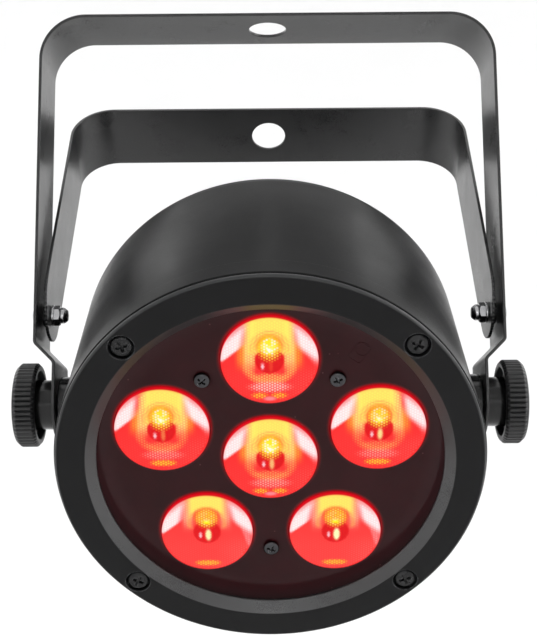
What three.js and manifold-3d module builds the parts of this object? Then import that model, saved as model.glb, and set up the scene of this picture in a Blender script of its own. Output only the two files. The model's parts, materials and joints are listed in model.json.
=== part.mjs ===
// Compact LED par can on a double bracket: a drum-shaped can that tilts in a hanging yoke, and a second,
// shorter yoke that swings out as a floor stand. Millimetres, +Z up. The origin is the centre of the
// hanging hole at the top face of the hanging yoke's crossbar, and the lamp faces -Y.
import * as THREE from 'three';
import { mergeVertices } from 'three/addons/utils/BufferGeometryUtils.js';
import Module from 'manifold-3d';

const wasm = await Module();
wasm.setup();

// ---------------------------------------------------------------- driving dimensions
const GAP = 0.3;                // running gap kept between pieces that meet
const AIM_DOWN = 36.4;          // degrees that the lamp points below the horizon at rest
const STAND_LEAN = 34;          // degrees that the stand yoke leans back at rest

const STRIP_WIDTH = 30.2;       // both yokes are bent from the same steel strip
const STRIP_THICK = 1.2;
const HANG_HOLE = 15;           // diameter of the hole in each crossbar
const YOKE_WIDTH = 180.6;       // hanging yoke, outside its arms
const YOKE_LOW_WIDTH = 165.8;   // the same below the jog, beside the can
const YOKE_HEIGHT = 154;        // tilt axis to the crossbar's top face
const YOKE_BEND = 17.5;         // outer radius of the two top corners
const JOG_TOP = 22.7;           // the jog's height above the tilt axis
const JOG_BOTTOM = 15.3;
const YOKE_END_LIFT = 1.7;      // centre of the rounded end above the tilt axis
const STAND_WIDTH = 174.4;      // stand yoke, outside its arms at the pivot
const STAND_BAR_WIDTH = 173;    // the same at its crossbar
const STAND_LENGTH = 112.2;     // pivot to the crossbar's outer face
const STAND_BEND = 17.5;
const STAND_END_LIFT = 6.5;
const STAND_KINK = 20;          // where its arms start to lean in, above the pivot
const STAND_KINK_BEND = 60;
const JOG_BEND = 2.2;
const PIVOT_LIFT = 35.2;        // stand pivot above the tilt axis
const PIVOT_HOLE = 2.3;         // radius of the stand pivot's holes
const SERRATION_PITCH = 1.75;   // fine notches round the stand yoke's ends
const SERRATION_DEPTH = 0.3;

const FRONT = 45.7;             // can's front plane ahead of the tilt axis
const CAN_DEPTH = 100.4;
const DRUM_RADIUS = 77.1;
const DRUM_WALL = 1.5;
const DRUM_SHOULDER = 16;
const COLLAR_RADIUS = 77.5;
const COLLAR_FRONT = 1.8;       // depths below are measured back from the front plane
const COLLAR_BACK = 11;
const BEZEL_RADIUS = 77.1;
const BEZEL_INNER = 66.2;       // where its flat face turns into the chamfer
const PANEL_DEPTH = 8.3;        // lens panel's face
const PANEL_THICK = 2;
const BEZEL_SCREW_PITCH = 71;
const PANEL_SCREW_PITCH = 40.6;
const LENS_PITCH = 40.7;
const LENS_RADIUS = 17.1;
const LENS_ANGLES = [90, 18, -54, -126, 162];
const REAR_OPENING = 58;
const REAR_INSIDE = 96.9;       // inner and outer face of the rear panel
const REAR_FACE = 98.6;
const OUTSIDE = 103;            // a depth behind everything on the rear panel, where cuts start

const KNOB_RADIUS = 16.25;
const KNOB_RIBS = 52;
const KNOB_INNER = 89.4;        // distances out from the centre plane
const KNOB_OUTER = 98;
const HUB_RADIUS = 9.6;
const HUB_RECESS = 13.4;        // radius and depth of the knob's recess round its collar
const HUB_RECESS_DEPTH = 3;
const KNOB_SKIN = 1.6;          // material left outside the stud's socket
const KNOB_CROWN = 1.2;         // height of the plain rim outside the ribs
const RIB_DEPTH = 0.75;
const STUD_RADIUS = 3;
const STUD_HOLE = STUD_RADIUS + 0.4;
const STUD_INNER_END = 67.5;
const WASHER_RADIUS = 10.8;
const WASHER_INNER = 74;
const INSERT_RADIUS = 7;
const INSERT_INNER = 67;
const INSERT_OUTER = 77;

const SIDES_DRUM = 48;          // facets round a circle, by its size
const SIDES_PLATE = 32;
const SIDES_LENS = 20;
const SIDES_MID = 20;
const SIDES_SMALL = 12;
const SIDES_SCREW = 8;
const SHOULDER_STEPS = 4;
const BEND_STEP = 15;           // degrees of bend to one facet of the strip

const RAD = Math.PI / 180;

// ---------------------------------------------------------------- materials
function paint(color, roughness, metalness) {
  return new THREE.MeshStandardMaterial({ color, roughness, metalness });
}
const BLACK_STEEL = paint(0x2b2b2c, 0.5, 0.3);
const BLACK_CAN = paint(0x303031, 0.45, 0.2);
const BLACK_BEZEL = paint(0x232425, 0.6, 0.1);
const BLACK_PLASTIC = paint(0x1c1c1d, 0.4, 0);
const GLOSS_BLACK = paint(0x101011, 0.15, 0);
const PANEL_BLACK = paint(0x1a0e0f, 0.2, 0);
const CLEAR = paint(0xff4a3a, 0.05, 0);
const ZINC = paint(0xb9bbbd, 0.3, 1);
const DARK_NICKEL = paint(0x6d6e70, 0.25, 1);
const ALUMINIUM = paint(0xa6a8aa, 0.4, 1);
const BOARD_GREEN = paint(0x1d4a2c, 0.5, 0);
const BOARD_WHITE = paint(0xe6e6e0, 0.5, 0);

// ---------------------------------------------------------------- geometry helpers
// A closed geometry as a manifold solid, with shared corners merged and empty triangles dropped.
function toSolid(geometry) {
  const bare = new THREE.BufferGeometry();
  bare.setAttribute('position', geometry.getAttribute('position').clone());
  if (geometry.index) bare.setIndex(geometry.index.clone());
  const merged = mergeVertices(bare, 1e-4);
  const index = merged.index.array;
  const kept = [];
  for (let i = 0; i < index.length; i += 3) {
    const [a, b, c] = [index[i], index[i + 1], index[i + 2]];
    if (a !== b && b !== c && c !== a) kept.push(a, b, c);
  }
  return new wasm.Manifold(new wasm.Mesh({
    numProp: 3,
    vertProperties: new Float32Array(merged.getAttribute('position').array),
    triVerts: new Uint32Array(kept),
  }));
}

function fromSolid(solid) {
  const { vertProperties, triVerts } = solid.getMesh();
  const geometry = new THREE.BufferGeometry();
  geometry.setAttribute('position', new THREE.BufferAttribute(new Float32Array(vertProperties), 3));
  geometry.setIndex(new THREE.BufferAttribute(new Uint32Array(triVerts), 1));
  geometry.computeVertexNormals();
  return geometry;
}

// Twice the signed area of a closed outline, positive when it runs anticlockwise.
function turn(points) {
  return points.reduce((sum, [x, y], i) => {
    const [nx, ny] = points[(i + 1) % points.length];
    return sum + x * ny - nx * y;
  }, 0);
}

// A profile of [radius, height] points turned about Z. It closes on itself or ends on the axis.
function revolve(profile, sides) {
  const outline = turn(profile) > 0 ? profile : [...profile].reverse();
  const onAxis = outline.some(([r]) => r === 0);
  const points = outline.map(([r, z]) => new THREE.Vector2(r, z));
  if (onAxis) {
    // Start on the axis, at the end that the outline leaves it from.
    const count = points.length;
    const start = points.findIndex((p, i) => p.x === 0 && points[(i + 1) % count].x > 0);
    points.push(...points.splice(0, start));
  } else {
    points.push(points[0].clone());
  }
  return toSolid(new THREE.LatheGeometry(points, sides).rotateX(Math.PI / 2));
}

// A flat outline of [x, y] points pushed along Z from z0 to z1.
function prism(outline, z0, z1) {
  const shape = new THREE.Shape(outline.map(([x, y]) => new THREE.Vector2(x, y)));
  const extruded = new THREE.ExtrudeGeometry(shape, { depth: z1 - z0, bevelEnabled: false });
  return toSolid(extruded.translate(0, 0, z0));
}

function circle(radius, sides, x = 0, y = 0) {
  return Array.from({ length: sides }, (_, i) => {
    const a = 2 * Math.PI * i / sides;
    return [x + radius * Math.cos(a), y + radius * Math.sin(a)];
  });
}

function arc(x, y, radius, from, to, steps) {
  return Array.from({ length: steps + 1 }, (_, i) => {
    const a = (from + (to - from) * i / steps) * RAD;
    return [x + radius * Math.cos(a), y + radius * Math.sin(a)];
  });
}

function roundedBox(width, height, radius, x = 0, y = 0) {
  const [w, h] = [width / 2 - radius, height / 2 - radius];
  return [
    ...arc(x + w, y + h, radius, 0, 90, 2),
    ...arc(x - w, y + h, radius, 90, 180, 2),
    ...arc(x - w, y - h, radius, 180, 270, 2),
    ...arc(x + w, y - h, radius, 270, 360, 2),
  ];
}

const rod = (radius, z0, z1, sides, x = 0, y = 0) => prism(circle(radius, sides, x, y), z0, z1);

// Solids above stand along Z; these lay them along X, with their +Z end towards +X.
const alongX = (solid) => solid.rotate([0, 90, 0]);

const cut = (solid, ...tools) => tools.reduce((rest, tool) => rest.subtract(tool), solid);
const join = (solid, ...more) => more.reduce((sum, piece) => sum.add(piece), solid);

function part(name, solid, material) {
  const mesh = new THREE.Mesh(fromSolid(solid), material);
  mesh.name = name;
  return mesh;
}

// A height in the can's frame for a depth behind its front plane.
const depth = (d) => FRONT - d;
const profileAt = (rows) => rows.map(([r, d]) => [r, depth(d)]);
const ring = (angle, pitch) => [pitch * Math.cos(angle * RAD), pitch * Math.sin(angle * RAD)];

// ---------------------------------------------------------------- bent strip yokes
// The side view of a bent strip: its centre line with round bends, thickened both ways.
function stripOutline(corners, bends) {
  const line = [];
  corners.forEach(([x, z], i) => {
    const bend = bends[i];
    if (!bend) {
      line.push({ x, z });
      return;
    }
    const before = new THREE.Vector2(corners[i - 1][0] - x, corners[i - 1][1] - z).normalize();
    const after = new THREE.Vector2(corners[i + 1][0] - x, corners[i + 1][1] - z).normalize();
    const half = Math.acos(THREE.MathUtils.clamp(before.dot(after), -1, 1)) / 2;
    const middle = before.clone().add(after).normalize();
    const centre = new THREE.Vector2(x, z).addScaledVector(middle, bend / Math.sin(half));
    const reach = bend / Math.tan(half);
    const start = Math.atan2(z + before.y * reach - centre.y, x + before.x * reach - centre.x);
    let sweep = Math.atan2(z + after.y * reach - centre.y, x + after.x * reach - centre.x) - start;
    sweep -= 2 * Math.PI * Math.round(sweep / (2 * Math.PI));
    const steps = Math.max(2, Math.ceil(Math.abs(sweep) / (BEND_STEP * RAD)));
    for (let k = 0; k <= steps; k += 1) {
      const a = start + sweep * k / steps;
      line.push({ x: centre.x + bend * Math.cos(a), z: centre.y + bend * Math.sin(a) });
    }
  });
  const side = (sign) => line.map((p, i) => {
    const a = line[Math.max(i - 1, 0)];
    const b = line[Math.min(i + 1, line.length - 1)];
    const along = new THREE.Vector2(b.x - a.x, b.z - a.z).normalize();
    return [p.x - sign * along.y * STRIP_THICK / 2, p.z + sign * along.x * STRIP_THICK / 2];
  });
  return [...side(1), ...side(-1).reverse()];
}

// The strip seen from its end, as a blank with a round foot whose rim may be serrated.
function blankOutline(top, footCentre, serrated) {
  const half = STRIP_WIDTH / 2;
  const notches = serrated ? Math.round(Math.PI * half / SERRATION_PITCH) : 0;
  const steps = serrated ? 2 * notches : 14;
  const foot = Array.from({ length: steps + 1 }, (_, i) => {
    const a = Math.PI + Math.PI * i / steps;
    const r = serrated && i % 2 === 1 ? half - SERRATION_DEPTH : half;
    return [r * Math.cos(a), footCentre + r * Math.sin(a)];
  });
  return [...foot, [half, top], [-half, top]];
}

// A bent strip, trimmed to its blank, with the crossbar hole and one or two holes in each arm.
function bentYoke(corners, bends, footCentre, serrated, top, armHoles) {
  const reach = YOKE_WIDTH;
  const strip = prism(stripOutline(corners, bends), -STRIP_WIDTH, STRIP_WIDTH).rotate([90, 0, 0]);
  const blank = prism(blankOutline(top + 1, footCentre, serrated), -reach, reach).rotate([90, 0, 90]);
  const hole = rod(HANG_HOLE / 2, top - 3, top + 3, SIDES_MID);
  const drills = armHoles.map(([radius, z]) => (
    rod(radius, -reach, reach, SIDES_SMALL).rotate([0, 90, 0]).translate([0, 0, z])
  ));
  return cut(strip.intersect(blank), hole, ...drills);
}

function mainYoke() {
  const arm = (YOKE_WIDTH - STRIP_THICK) / 2;
  const low = (YOKE_LOW_WIDTH - STRIP_THICK) / 2;
  const tilt = -YOKE_HEIGHT;
  const foot = tilt - STRIP_WIDTH;
  const half = [[low, foot], [low, tilt + JOG_BOTTOM], [arm, tilt + JOG_TOP], [arm, -STRIP_THICK / 2]];
  const corners = [...half, ...half.map(([x, z]) => [-x, z]).reverse()];
  const bends = [0, JOG_BEND, JOG_BEND, YOKE_BEND, YOKE_BEND, JOG_BEND, JOG_BEND, 0];
  const holes = [[PIVOT_HOLE, tilt + PIVOT_LIFT], [STUD_HOLE, tilt]];
  return part('main_yoke', bentYoke(corners, bends, tilt + YOKE_END_LIFT, false, 0, holes), BLACK_STEEL);
}

function standYoke() {
  const arm = (STAND_WIDTH - STRIP_THICK) / 2;
  const bar = (STAND_BAR_WIDTH - STRIP_THICK) / 2;
  const half = [[arm, -STRIP_WIDTH], [arm, STAND_KINK], [bar, STAND_LENGTH - STRIP_THICK / 2]];
  const corners = [...half, ...half.map(([x, z]) => [-x, z]).reverse()];
  const bends = [0, STAND_KINK_BEND, STAND_BEND, STAND_BEND, STAND_KINK_BEND, 0];
  const yoke = bentYoke(corners, bends, STAND_END_LIFT, true, STAND_LENGTH, [[PIVOT_HOLE, 0]]);
  return part('stand_yoke', yoke, BLACK_STEEL);
}

// ---------------------------------------------------------------- stand pivot hardware
// Each side: a pan-head bolt from outside, a washer between the strips, and a domed nut inside.
const BOLT = { shank: 2, end: 82, head: 4, crown: 3, edge: 1.2, shoulder: 2.3, height: 2.6 };
const PIVOT_WASHER = { radius: 4.5, bore: 2.4 };
const NUT = { bore: 2.4, boreEnd: 81.6, flats: 7, hexTop: 3.4, flange: 4.2, flangeTop: 1 };
const NUT_DOME = [[0, 6.4], [1.6, 6.1], [2.8, 5], [3.25, 3.4], [3.25, 3], [0, 3]];

function pivotBolt(outside) {
  const { shank, end, head, crown, edge, shoulder, height } = BOLT;
  return revolve([
    [0, end], [shank, end], [shank, outside], [head, outside], [head, outside + edge],
    [crown, outside + shoulder], [0, outside + height],
  ], SIDES_SMALL);
}

// The nut's flange is at a distance out from the centre plane, and its dome points inward.
function domedNut(face) {
  const { bore, boreEnd, flats, hexTop, flange, flangeTop } = NUT;
  const hexagon = prism(circle(flats / Math.sqrt(3), 6), face - hexTop, face - flangeTop + 0.1);
  const dome = revolve(NUT_DOME.map(([r, h]) => [r, face - h]), SIDES_SMALL);
  const plate = rod(flange, face - flangeTop, face, SIDES_SMALL);
  return cut(join(hexagon, dome, plate), rod(bore, boreEnd, face + 1, SIDES_SMALL));
}

function pivotHardware(side) {
  const name = side < 0 ? 'left' : 'right';
  const inside = STAND_WIDTH / 2 - STRIP_THICK;
  const [near, far] = [STAND_WIDTH / 2 + GAP, YOKE_WIDTH / 2 - STRIP_THICK - GAP];
  const washer = cut(
    rod(PIVOT_WASHER.radius, near, far, SIDES_MID),
    rod(PIVOT_WASHER.bore, near - 1, far + 1, SIDES_SMALL),
  );
  const pieces = [
    part(`pivot_bolt_${name}`, alongX(pivotBolt(YOKE_WIDTH / 2 + GAP)), DARK_NICKEL),
    part(`pivot_washer_${name}`, alongX(washer), BLACK_STEEL),
    part(`pivot_nut_${name}`, alongX(domedNut(inside - GAP)), DARK_NICKEL),
  ];
  return place(side, pieces);
}

// Pieces are made for the right-hand side; the left-hand ones are turned half way round Z.
function place(side, pieces) {
  const group = new THREE.Group();
  if (side < 0) group.rotation.z = Math.PI;
  group.add(...pieces);
  return group;
}

// ---------------------------------------------------------------- tilt clamps
function knobOutline() {
  return Array.from({ length: KNOB_RIBS * 2 }, (_, i) => {
    const r = KNOB_RADIUS - (i % 2 ? RIB_DEPTH : 0);
    const a = Math.PI * i / KNOB_RIBS;
    return [r * Math.cos(a), r * Math.sin(a)];
  });
}

function tiltKnob() {
  const [floor, rim] = [KNOB_INNER + HUB_RECESS_DEPTH, KNOB_OUTER - KNOB_CROWN];
  const ribbed = prism(knobOutline(), KNOB_INNER, rim);
  const crown = revolve([
    [0, rim], [KNOB_RADIUS - 0.8, rim], [KNOB_RADIUS - 2, KNOB_OUTER], [0, KNOB_OUTER],
  ], SIDES_MID);
  const recess = rod(HUB_RECESS, KNOB_INNER - 1, floor, SIDES_MID);
  const socket = rod(STUD_RADIUS + GAP, floor - 1, KNOB_OUTER - KNOB_SKIN, SIDES_SMALL);
  return cut(join(ribbed, crown), recess, socket);
}

// A knob with its collar and stud, and the washer and threaded insert, which are cut to fit the can's
// drum and so are drawn in its frame.
function tiltClamp(side) {
  const name = side < 0 ? 'left' : 'right';
  const armOut = YOKE_LOW_WIDTH / 2;
  const armIn = armOut - STRIP_THICK;
  const stud = rod(STUD_RADIUS, STUD_INNER_END, KNOB_OUTER - KNOB_SKIN - GAP, SIDES_SMALL);
  const through = rod(STUD_HOLE, 0, KNOB_OUTER, SIDES_SMALL);
  const hubEnd = KNOB_INNER + HUB_RECESS_DEPTH - GAP;
  const collar = cut(rod(HUB_RADIUS, armOut + GAP, hubEnd, SIDES_MID), through);
  const drumOutside = rod(DRUM_RADIUS + GAP, -FRONT, FRONT, SIDES_DRUM);
  const drumInside = rod(DRUM_RADIUS - DRUM_WALL - GAP, -FRONT, FRONT, SIDES_DRUM);
  const disc = rod(WASHER_RADIUS, WASHER_INNER, armIn - GAP, SIDES_MID);
  const boss = rod(INSERT_RADIUS, INSERT_INNER, INSERT_OUTER, SIDES_SMALL);
  return {
    carried: place(side, [
      part(`friction_washer_${name}`, cut(alongX(cut(disc, through)), drumOutside), GLOSS_BLACK),
      part(`tilt_insert_${name}`, alongX(cut(boss, through)).intersect(drumInside), ZINC),
    ]),
    loose: place(side, [
      part(`knob_collar_${name}`, alongX(collar), GLOSS_BLACK),
      part(`tilt_knob_${name}`, alongX(tiltKnob()), BLACK_PLASTIC),
      part(`tilt_stud_${name}`, alongX(stud), ZINC),
    ]),
  };
}

// ---------------------------------------------------------------- can: shells and front
function canHousing() {
  const [R, S, w] = [DRUM_RADIUS, DRUM_SHOULDER, DRUM_WALL];
  const shoulder = (radius, from, to) => arc(R - S, depth(CAN_DEPTH - S), radius, from, to, SHOULDER_STEPS);
  const shell = revolve([
    [R, depth(COLLAR_BACK + GAP)], [R - w, depth(COLLAR_BACK + GAP)],
    ...shoulder(S - w, 0, -90), [REAR_OPENING, depth(CAN_DEPTH - w)], [REAR_OPENING, depth(CAN_DEPTH)],
    ...shoulder(S, -90, 0),
  ], SIDES_DRUM);
  const studHoles = alongX(rod(STUD_HOLE, -KNOB_INNER, KNOB_INNER, SIDES_SMALL));
  return part('can_housing', cut(shell, studHoles), BLACK_CAN);
}

const BEZEL_SCREWS = [45, 135, 225, 315];
const SCREW_HOLE = 2.4;         // radius of a bezel screw's hole, and of its recess
const SCREW_RECESS = 4.6;
const SCREW_SEAT = 2.5;
const COLLAR_WALL = 1.8;
const LEDGE = { inner: 66.8, front: 5.3, back: 7.7 };   // the collar's inward flange, which takes the screws
const SPIGOT = { outer: 75.4, back: 5, inner: 66.5 };   // the bezel's rim inside the collar
const LIP = { inner: 62.6, front: 3.5, back: 4.6 };     // its thin lip, at the foot of the chamfer
const RIB_INNER = 65.8;         // and the rib that holds the lens panel down

function collarRing() {
  const inner = COLLAR_RADIUS - COLLAR_WALL;
  const flange = revolve(profileAt([
    [COLLAR_RADIUS - 0.4, COLLAR_FRONT], [COLLAR_RADIUS, COLLAR_FRONT + 0.6], [COLLAR_RADIUS, COLLAR_BACK],
    [inner, COLLAR_BACK], [inner, LEDGE.back], [LEDGE.inner, LEDGE.back], [LEDGE.inner, LEDGE.front],
    [inner, LEDGE.front], [inner, COLLAR_FRONT],
  ]), SIDES_DRUM);
  const holes = BEZEL_SCREWS.map((a) => (
    rod(SCREW_HOLE, depth(LEDGE.back + 1), depth(LEDGE.front - 1), SIDES_SCREW, ...ring(a, BEZEL_SCREW_PITCH))
  ));
  return part('collar_ring', cut(flange, ...holes), BLACK_CAN);
}

function frontBezel() {
  const [rim, back] = [COLLAR_FRONT - 0.4, PANEL_DEPTH - GAP];
  const body = revolve(profileAt([
    [BEZEL_INNER, 0], [BEZEL_RADIUS - 1.2, 0], [BEZEL_RADIUS - 0.35, 0.35], [BEZEL_RADIUS, 1.2],
    [BEZEL_RADIUS, rim], [SPIGOT.outer, rim], [SPIGOT.outer, SPIGOT.back], [SPIGOT.inner, SPIGOT.back],
    [SPIGOT.inner, back], [RIB_INNER, back], [RIB_INNER, LIP.back], [LIP.inner, LIP.back],
    [LIP.inner, LIP.front],
  ]), SIDES_DRUM);
  const tools = BEZEL_SCREWS.flatMap((a) => {
    const [x, y] = ring(a, BEZEL_SCREW_PITCH);
    return [
      rod(SCREW_RECESS, depth(SCREW_SEAT), depth(-1), SIDES_SMALL, x, y),
      rod(SCREW_HOLE, depth(SPIGOT.back + 1), depth(SCREW_SEAT - 0.5), SIDES_SCREW, x, y),
    ];
  });
  return part('front_bezel', cut(body, ...tools), BLACK_BEZEL);
}

function lensCentres() {
  return [[0, 0], ...LENS_ANGLES.map((a) => ring(a, LENS_PITCH))];
}

const PANEL_SCREWS = [54, 126, 270];
const PANEL_RADIUS = 75.2;
const SMALL_SCREW_HOLE = 1.8;
// Half sections of a lens and of an emitter: distance from the axis, and depth.
const LENS_PROFILE = [
  [0, 5.8], [9, 6], [LENS_RADIUS - 0.6, 6.4], [LENS_RADIUS, 7], [LENS_RADIUS, 10.2],
  [7, 24], [4.6, 24], [4.6, 17], [0, 16],
];
const EMITTER_PROFILE = [[0, 21.9], [1.8, 22.6], [2.2, 23.6], [3.4, 23.6], [3.4, 25.4], [0, 25.4]];
const CARRIER = { radius: 71, front: 14, back: 16, hole: 15 };
const BOARD = { radius: 62, front: 25.2, back: 26.8 };
const SINK = { radius: 64, back: 31, fins: 9, spacing: 13, finHalf: 1, finReach: 60, finEnd: 52 };

function lensPanel() {
  const disc = rod(PANEL_RADIUS, depth(PANEL_DEPTH + PANEL_THICK), depth(PANEL_DEPTH), SIDES_DRUM);
  const lensHoles = lensCentres().map(([x, y]) => rod(LENS_RADIUS + GAP, 0, FRONT, SIDES_MID, x, y));
  const screwHoles = PANEL_SCREWS.map((a) => (
    rod(SMALL_SCREW_HOLE, 0, FRONT, SIDES_SCREW, ...ring(a, PANEL_SCREW_PITCH))
  ));
  return part('lens_panel', cut(disc, ...lensHoles, ...screwHoles), PANEL_BLACK);
}

// A collimating lens: a shallow dome that stands proud of the panel, a cone behind it and a pocket for the
// emitter.
function lens([x, y], name) {
  return part(name, revolve(profileAt(LENS_PROFILE), SIDES_LENS).translate([x, y, 0]), CLEAR);
}

function lensCarrier() {
  const disc = rod(CARRIER.radius, depth(CARRIER.back), depth(CARRIER.front), SIDES_PLATE);
  const holes = lensCentres().map(([x, y]) => rod(CARRIER.hole, 0, FRONT, SIDES_SMALL, x, y));
  return part('lens_carrier', cut(disc, ...holes), BLACK_PLASTIC);
}

// The emitters are soldered to the board, so the board and its six domes are one solid.
function ledBoard() {
  const board = rod(BOARD.radius, depth(BOARD.back), depth(BOARD.front), SIDES_PLATE);
  const emitters = lensCentres().map(([x, y]) => (
    revolve(profileAt(EMITTER_PROFILE), SIDES_SCREW).translate([x, y, 0])
  ));
  return part('led_board', join(board, ...emitters), BOARD_WHITE);
}

function heatSink() {
  const base = rod(SINK.radius, depth(SINK.back), depth(BOARD.back + GAP), SIDES_PLATE);
  const fins = Array.from({ length: SINK.fins }, (_, i) => {
    const x = (i - (SINK.fins - 1) / 2) * SINK.spacing;
    const [left, right] = [x - SINK.finHalf, x + SINK.finHalf];
    const reach = Math.sqrt(SINK.finReach ** 2 - x ** 2);
    const section = [[left, -reach], [right, -reach], [right, reach], [left, reach]];
    return prism(section, depth(SINK.finEnd), depth(SINK.back - 1));
  });
  return part('heat_sink', join(base, ...fins), ALUMINIUM);
}

// ---------------------------------------------------------------- can: electronics and rear
// Sizes across the can are [width, height], with corner radii, and places are [x, y] from its axis.
const SLAB_CORNER = 1.5;
const WINDOW = { size: [44, 13], at: [0, 31], front: 96.4, back: 99.2 };
const BUTTON_X = [-19.5, -6.5, 6.5, 19.5];
const BUTTON_Y = 15;
const BUTTON_HOLE = 3.6;
const BUTTON_PROFILE = [[0, 95], [4.4, 95], [4.4, 96], [3.2, 96], [3.2, 99.8], [2.8, 100.3], [0, 100.3]];
const SOCKET_BACK = 101.4;      // outer face of the sockets' flanges
const SOCKET_CAVITY = 87.4;     // floor of the two inlets' cavities
const CONTACT_END = 90;         // bottom of the two outlets' contact holes
const DMX = { x: 36, y: -1, flange: 12.2, body: 10.4, end: 82, cavity: 9.2, contact: 1.7, pitch: 4.9 };
const DMX_CONTACTS = [-90, 30, 150];
const POWER = { x: 16.2, y: -33, flange: [30, 23, 3], body: [27, 20, 2.7], end: 80, cavity: [24, 16.6, 2.5] };
const POWER_SLOT = [2.4, 5, 0.6];
const POWER_SLOTS = [[-7, 0], [0, 4], [7, 0]];
const FUSE = { y: -7, holder: 6, front: 66, bore: 3.4, floor: 70, cap: 7, stem: 2.9, stemEnd: 78 };
const FUSE_CAP = { back: 101.6, slotFloor: 100.7, slotHalf: [5, 0.7] };
const EYE = { y: 49, depth: 105, radius: 8, hole: 5, neck: 6, front: 93, half: 1.25 };
const REAR_RADIUS = 61.5;
const REAR_SCREWS = [21, 159, 201, 339];
const REAR_SCREW_PITCH = 53;

function slab(name, [width, height], [x, y], front, back, material) {
  return part(name, prism(roundedBox(width, height, SLAB_CORNER, x, y), depth(back), depth(front)), material);
}

function electronics() {
  return [
    slab('driver_board', [92, 56], [0, 4], 58, 59.6, BOARD_GREEN),
    slab('driver_transformer', [30, 26], [-24, 12], 60, 76, BLACK_PLASTIC),
    slab('control_board', [60, 32], [0, 24], 92.3, 93.9, BOARD_GREEN),
    slab('display_window', WINDOW.size, WINDOW.at, WINDOW.front, WINDOW.back, GLOSS_BLACK),
  ];
}

// The rear panel's openings leave a gap round each thing that goes through them.
function rearPanel() {
  const disc = rod(REAR_RADIUS, depth(REAR_FACE), depth(REAR_INSIDE), SIDES_DRUM);
  const grown = ([width, height], corner, [x, y]) => (
    roundedBox(width + 2 * GAP, height + 2 * GAP, corner, x, y)
  );
  const outlines = [
    ...[-DMX.x, DMX.x].map((x) => circle(DMX.body + 0.4, SIDES_MID, x, DMX.y)),
    ...[-POWER.x, POWER.x].map((x) => grown(POWER.body, POWER.body[2] + GAP, [x, POWER.y])),
    circle(FUSE.holder + GAP, SIDES_MID, 0, FUSE.y),
    grown(WINDOW.size, SLAB_CORNER + GAP, WINDOW.at),
    grown([2 * EYE.half, 2 * EYE.neck], 0.5, [0, EYE.y]),
    ...BUTTON_X.map((x) => circle(BUTTON_HOLE, SIDES_SMALL, x, BUTTON_Y)),
    ...REAR_SCREWS.map((a) => circle(SMALL_SCREW_HOLE, SIDES_SCREW, ...ring(a, REAR_SCREW_PITCH))),
  ];
  const openings = outlines.map((outline) => prism(outline, depth(OUTSIDE), 0));
  return part('rear_panel', cut(disc, ...openings), BLACK_CAN);
}

// A panel socket: its flange outside the rear panel, its body inside, and blind cavities.
function socket(name, flange, body, bodyEnd, cavities) {
  const plate = prism(flange, depth(SOCKET_BACK), depth(REAR_FACE + GAP));
  const shell = prism(body, depth(REAR_FACE + 1), depth(bodyEnd));
  const tools = cavities.map(([outline, floor]) => prism(outline, depth(OUTSIDE), depth(floor)));
  return part(name, cut(join(plate, shell), ...tools), BLACK_PLASTIC);
}

function powerSockets() {
  const box = ([width, height, corner], x, y = POWER.y) => roundedBox(width, height, corner, x, y);
  const shell = (name, x, cavities) => (
    socket(name, box(POWER.flange, x), box(POWER.body, x), POWER.end, cavities)
  );
  const slots = POWER_SLOTS.map(([dx, dy]) => [box(POWER_SLOT, POWER.x + dx, POWER.y + dy), CONTACT_END]);
  return [
    shell('power_inlet', -POWER.x, [[box(POWER.cavity, -POWER.x), SOCKET_CAVITY]]),
    shell('power_outlet', POWER.x, slots),
  ];
}

function dmxSockets() {
  const disc = (radius, x) => circle(radius, SIDES_MID, x, DMX.y);
  const shell = (name, x, cavities) => (
    socket(name, disc(DMX.flange, x), disc(DMX.body, x), DMX.end, cavities)
  );
  const contacts = DMX_CONTACTS.map((a) => {
    const [dx, dy] = ring(a, DMX.pitch);
    return [circle(DMX.contact, SIDES_SCREW, DMX.x + dx, DMX.y + dy), CONTACT_END];
  });
  return [
    shell('dmx_input', -DMX.x, [[disc(DMX.cavity, -DMX.x), SOCKET_CAVITY]]),
    shell('dmx_output', DMX.x, contacts),
  ];
}

function fuseHolder() {
  const mouth = REAR_INSIDE - GAP;
  const holder = cut(
    rod(FUSE.holder, depth(mouth), depth(FUSE.front), SIDES_MID),
    rod(FUSE.bore, depth(mouth + 1), depth(FUSE.floor), SIDES_SMALL),
  );
  const cap = join(
    rod(FUSE.cap, depth(FUSE_CAP.back), depth(REAR_FACE + GAP), SIDES_MID),
    rod(FUSE.stem, depth(REAR_FACE + 1), depth(FUSE.stemEnd), SIDES_SMALL),
  );
  const [w, h] = FUSE_CAP.slotHalf;
  const slot = prism([[-w, -h], [w, -h], [w, h], [-w, h]], depth(OUTSIDE), depth(FUSE_CAP.slotFloor));
  return [
    part('fuse_holder', holder.translate([0, FUSE.y, 0]), BLACK_PLASTIC),
    part('fuse_cap', cut(cap, slot).translate([0, FUSE.y, 0]), BLACK_PLASTIC),
  ];
}

// A plate that stands up out of the rear panel, with an eye for a safety cable across the lamp.
function safetyEye() {
  const [seat, centre] = [depth(REAR_FACE + GAP), depth(EYE.depth)];
  const [left, right] = [EYE.y - EYE.radius, EYE.y + EYE.radius];
  const [neckLeft, neckRight] = [EYE.y - EYE.neck, EYE.y + EYE.neck];
  const outline = [
    [neckLeft, depth(EYE.front)], [neckRight, depth(EYE.front)], [neckRight, seat], [right, seat],
    [right, centre], ...arc(EYE.y, centre, EYE.radius, 0, -180, 10), [left, seat], [neckLeft, seat],
  ];
  const plate = prism(outline, -EYE.half, EYE.half);
  const eye = rod(EYE.hole, -2 * EYE.half, 2 * EYE.half, SIDES_SMALL, EYE.y, centre);
  return part('safety_eye', cut(plate, eye).rotate([90, 0, 90]), BLACK_STEEL);
}

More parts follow.
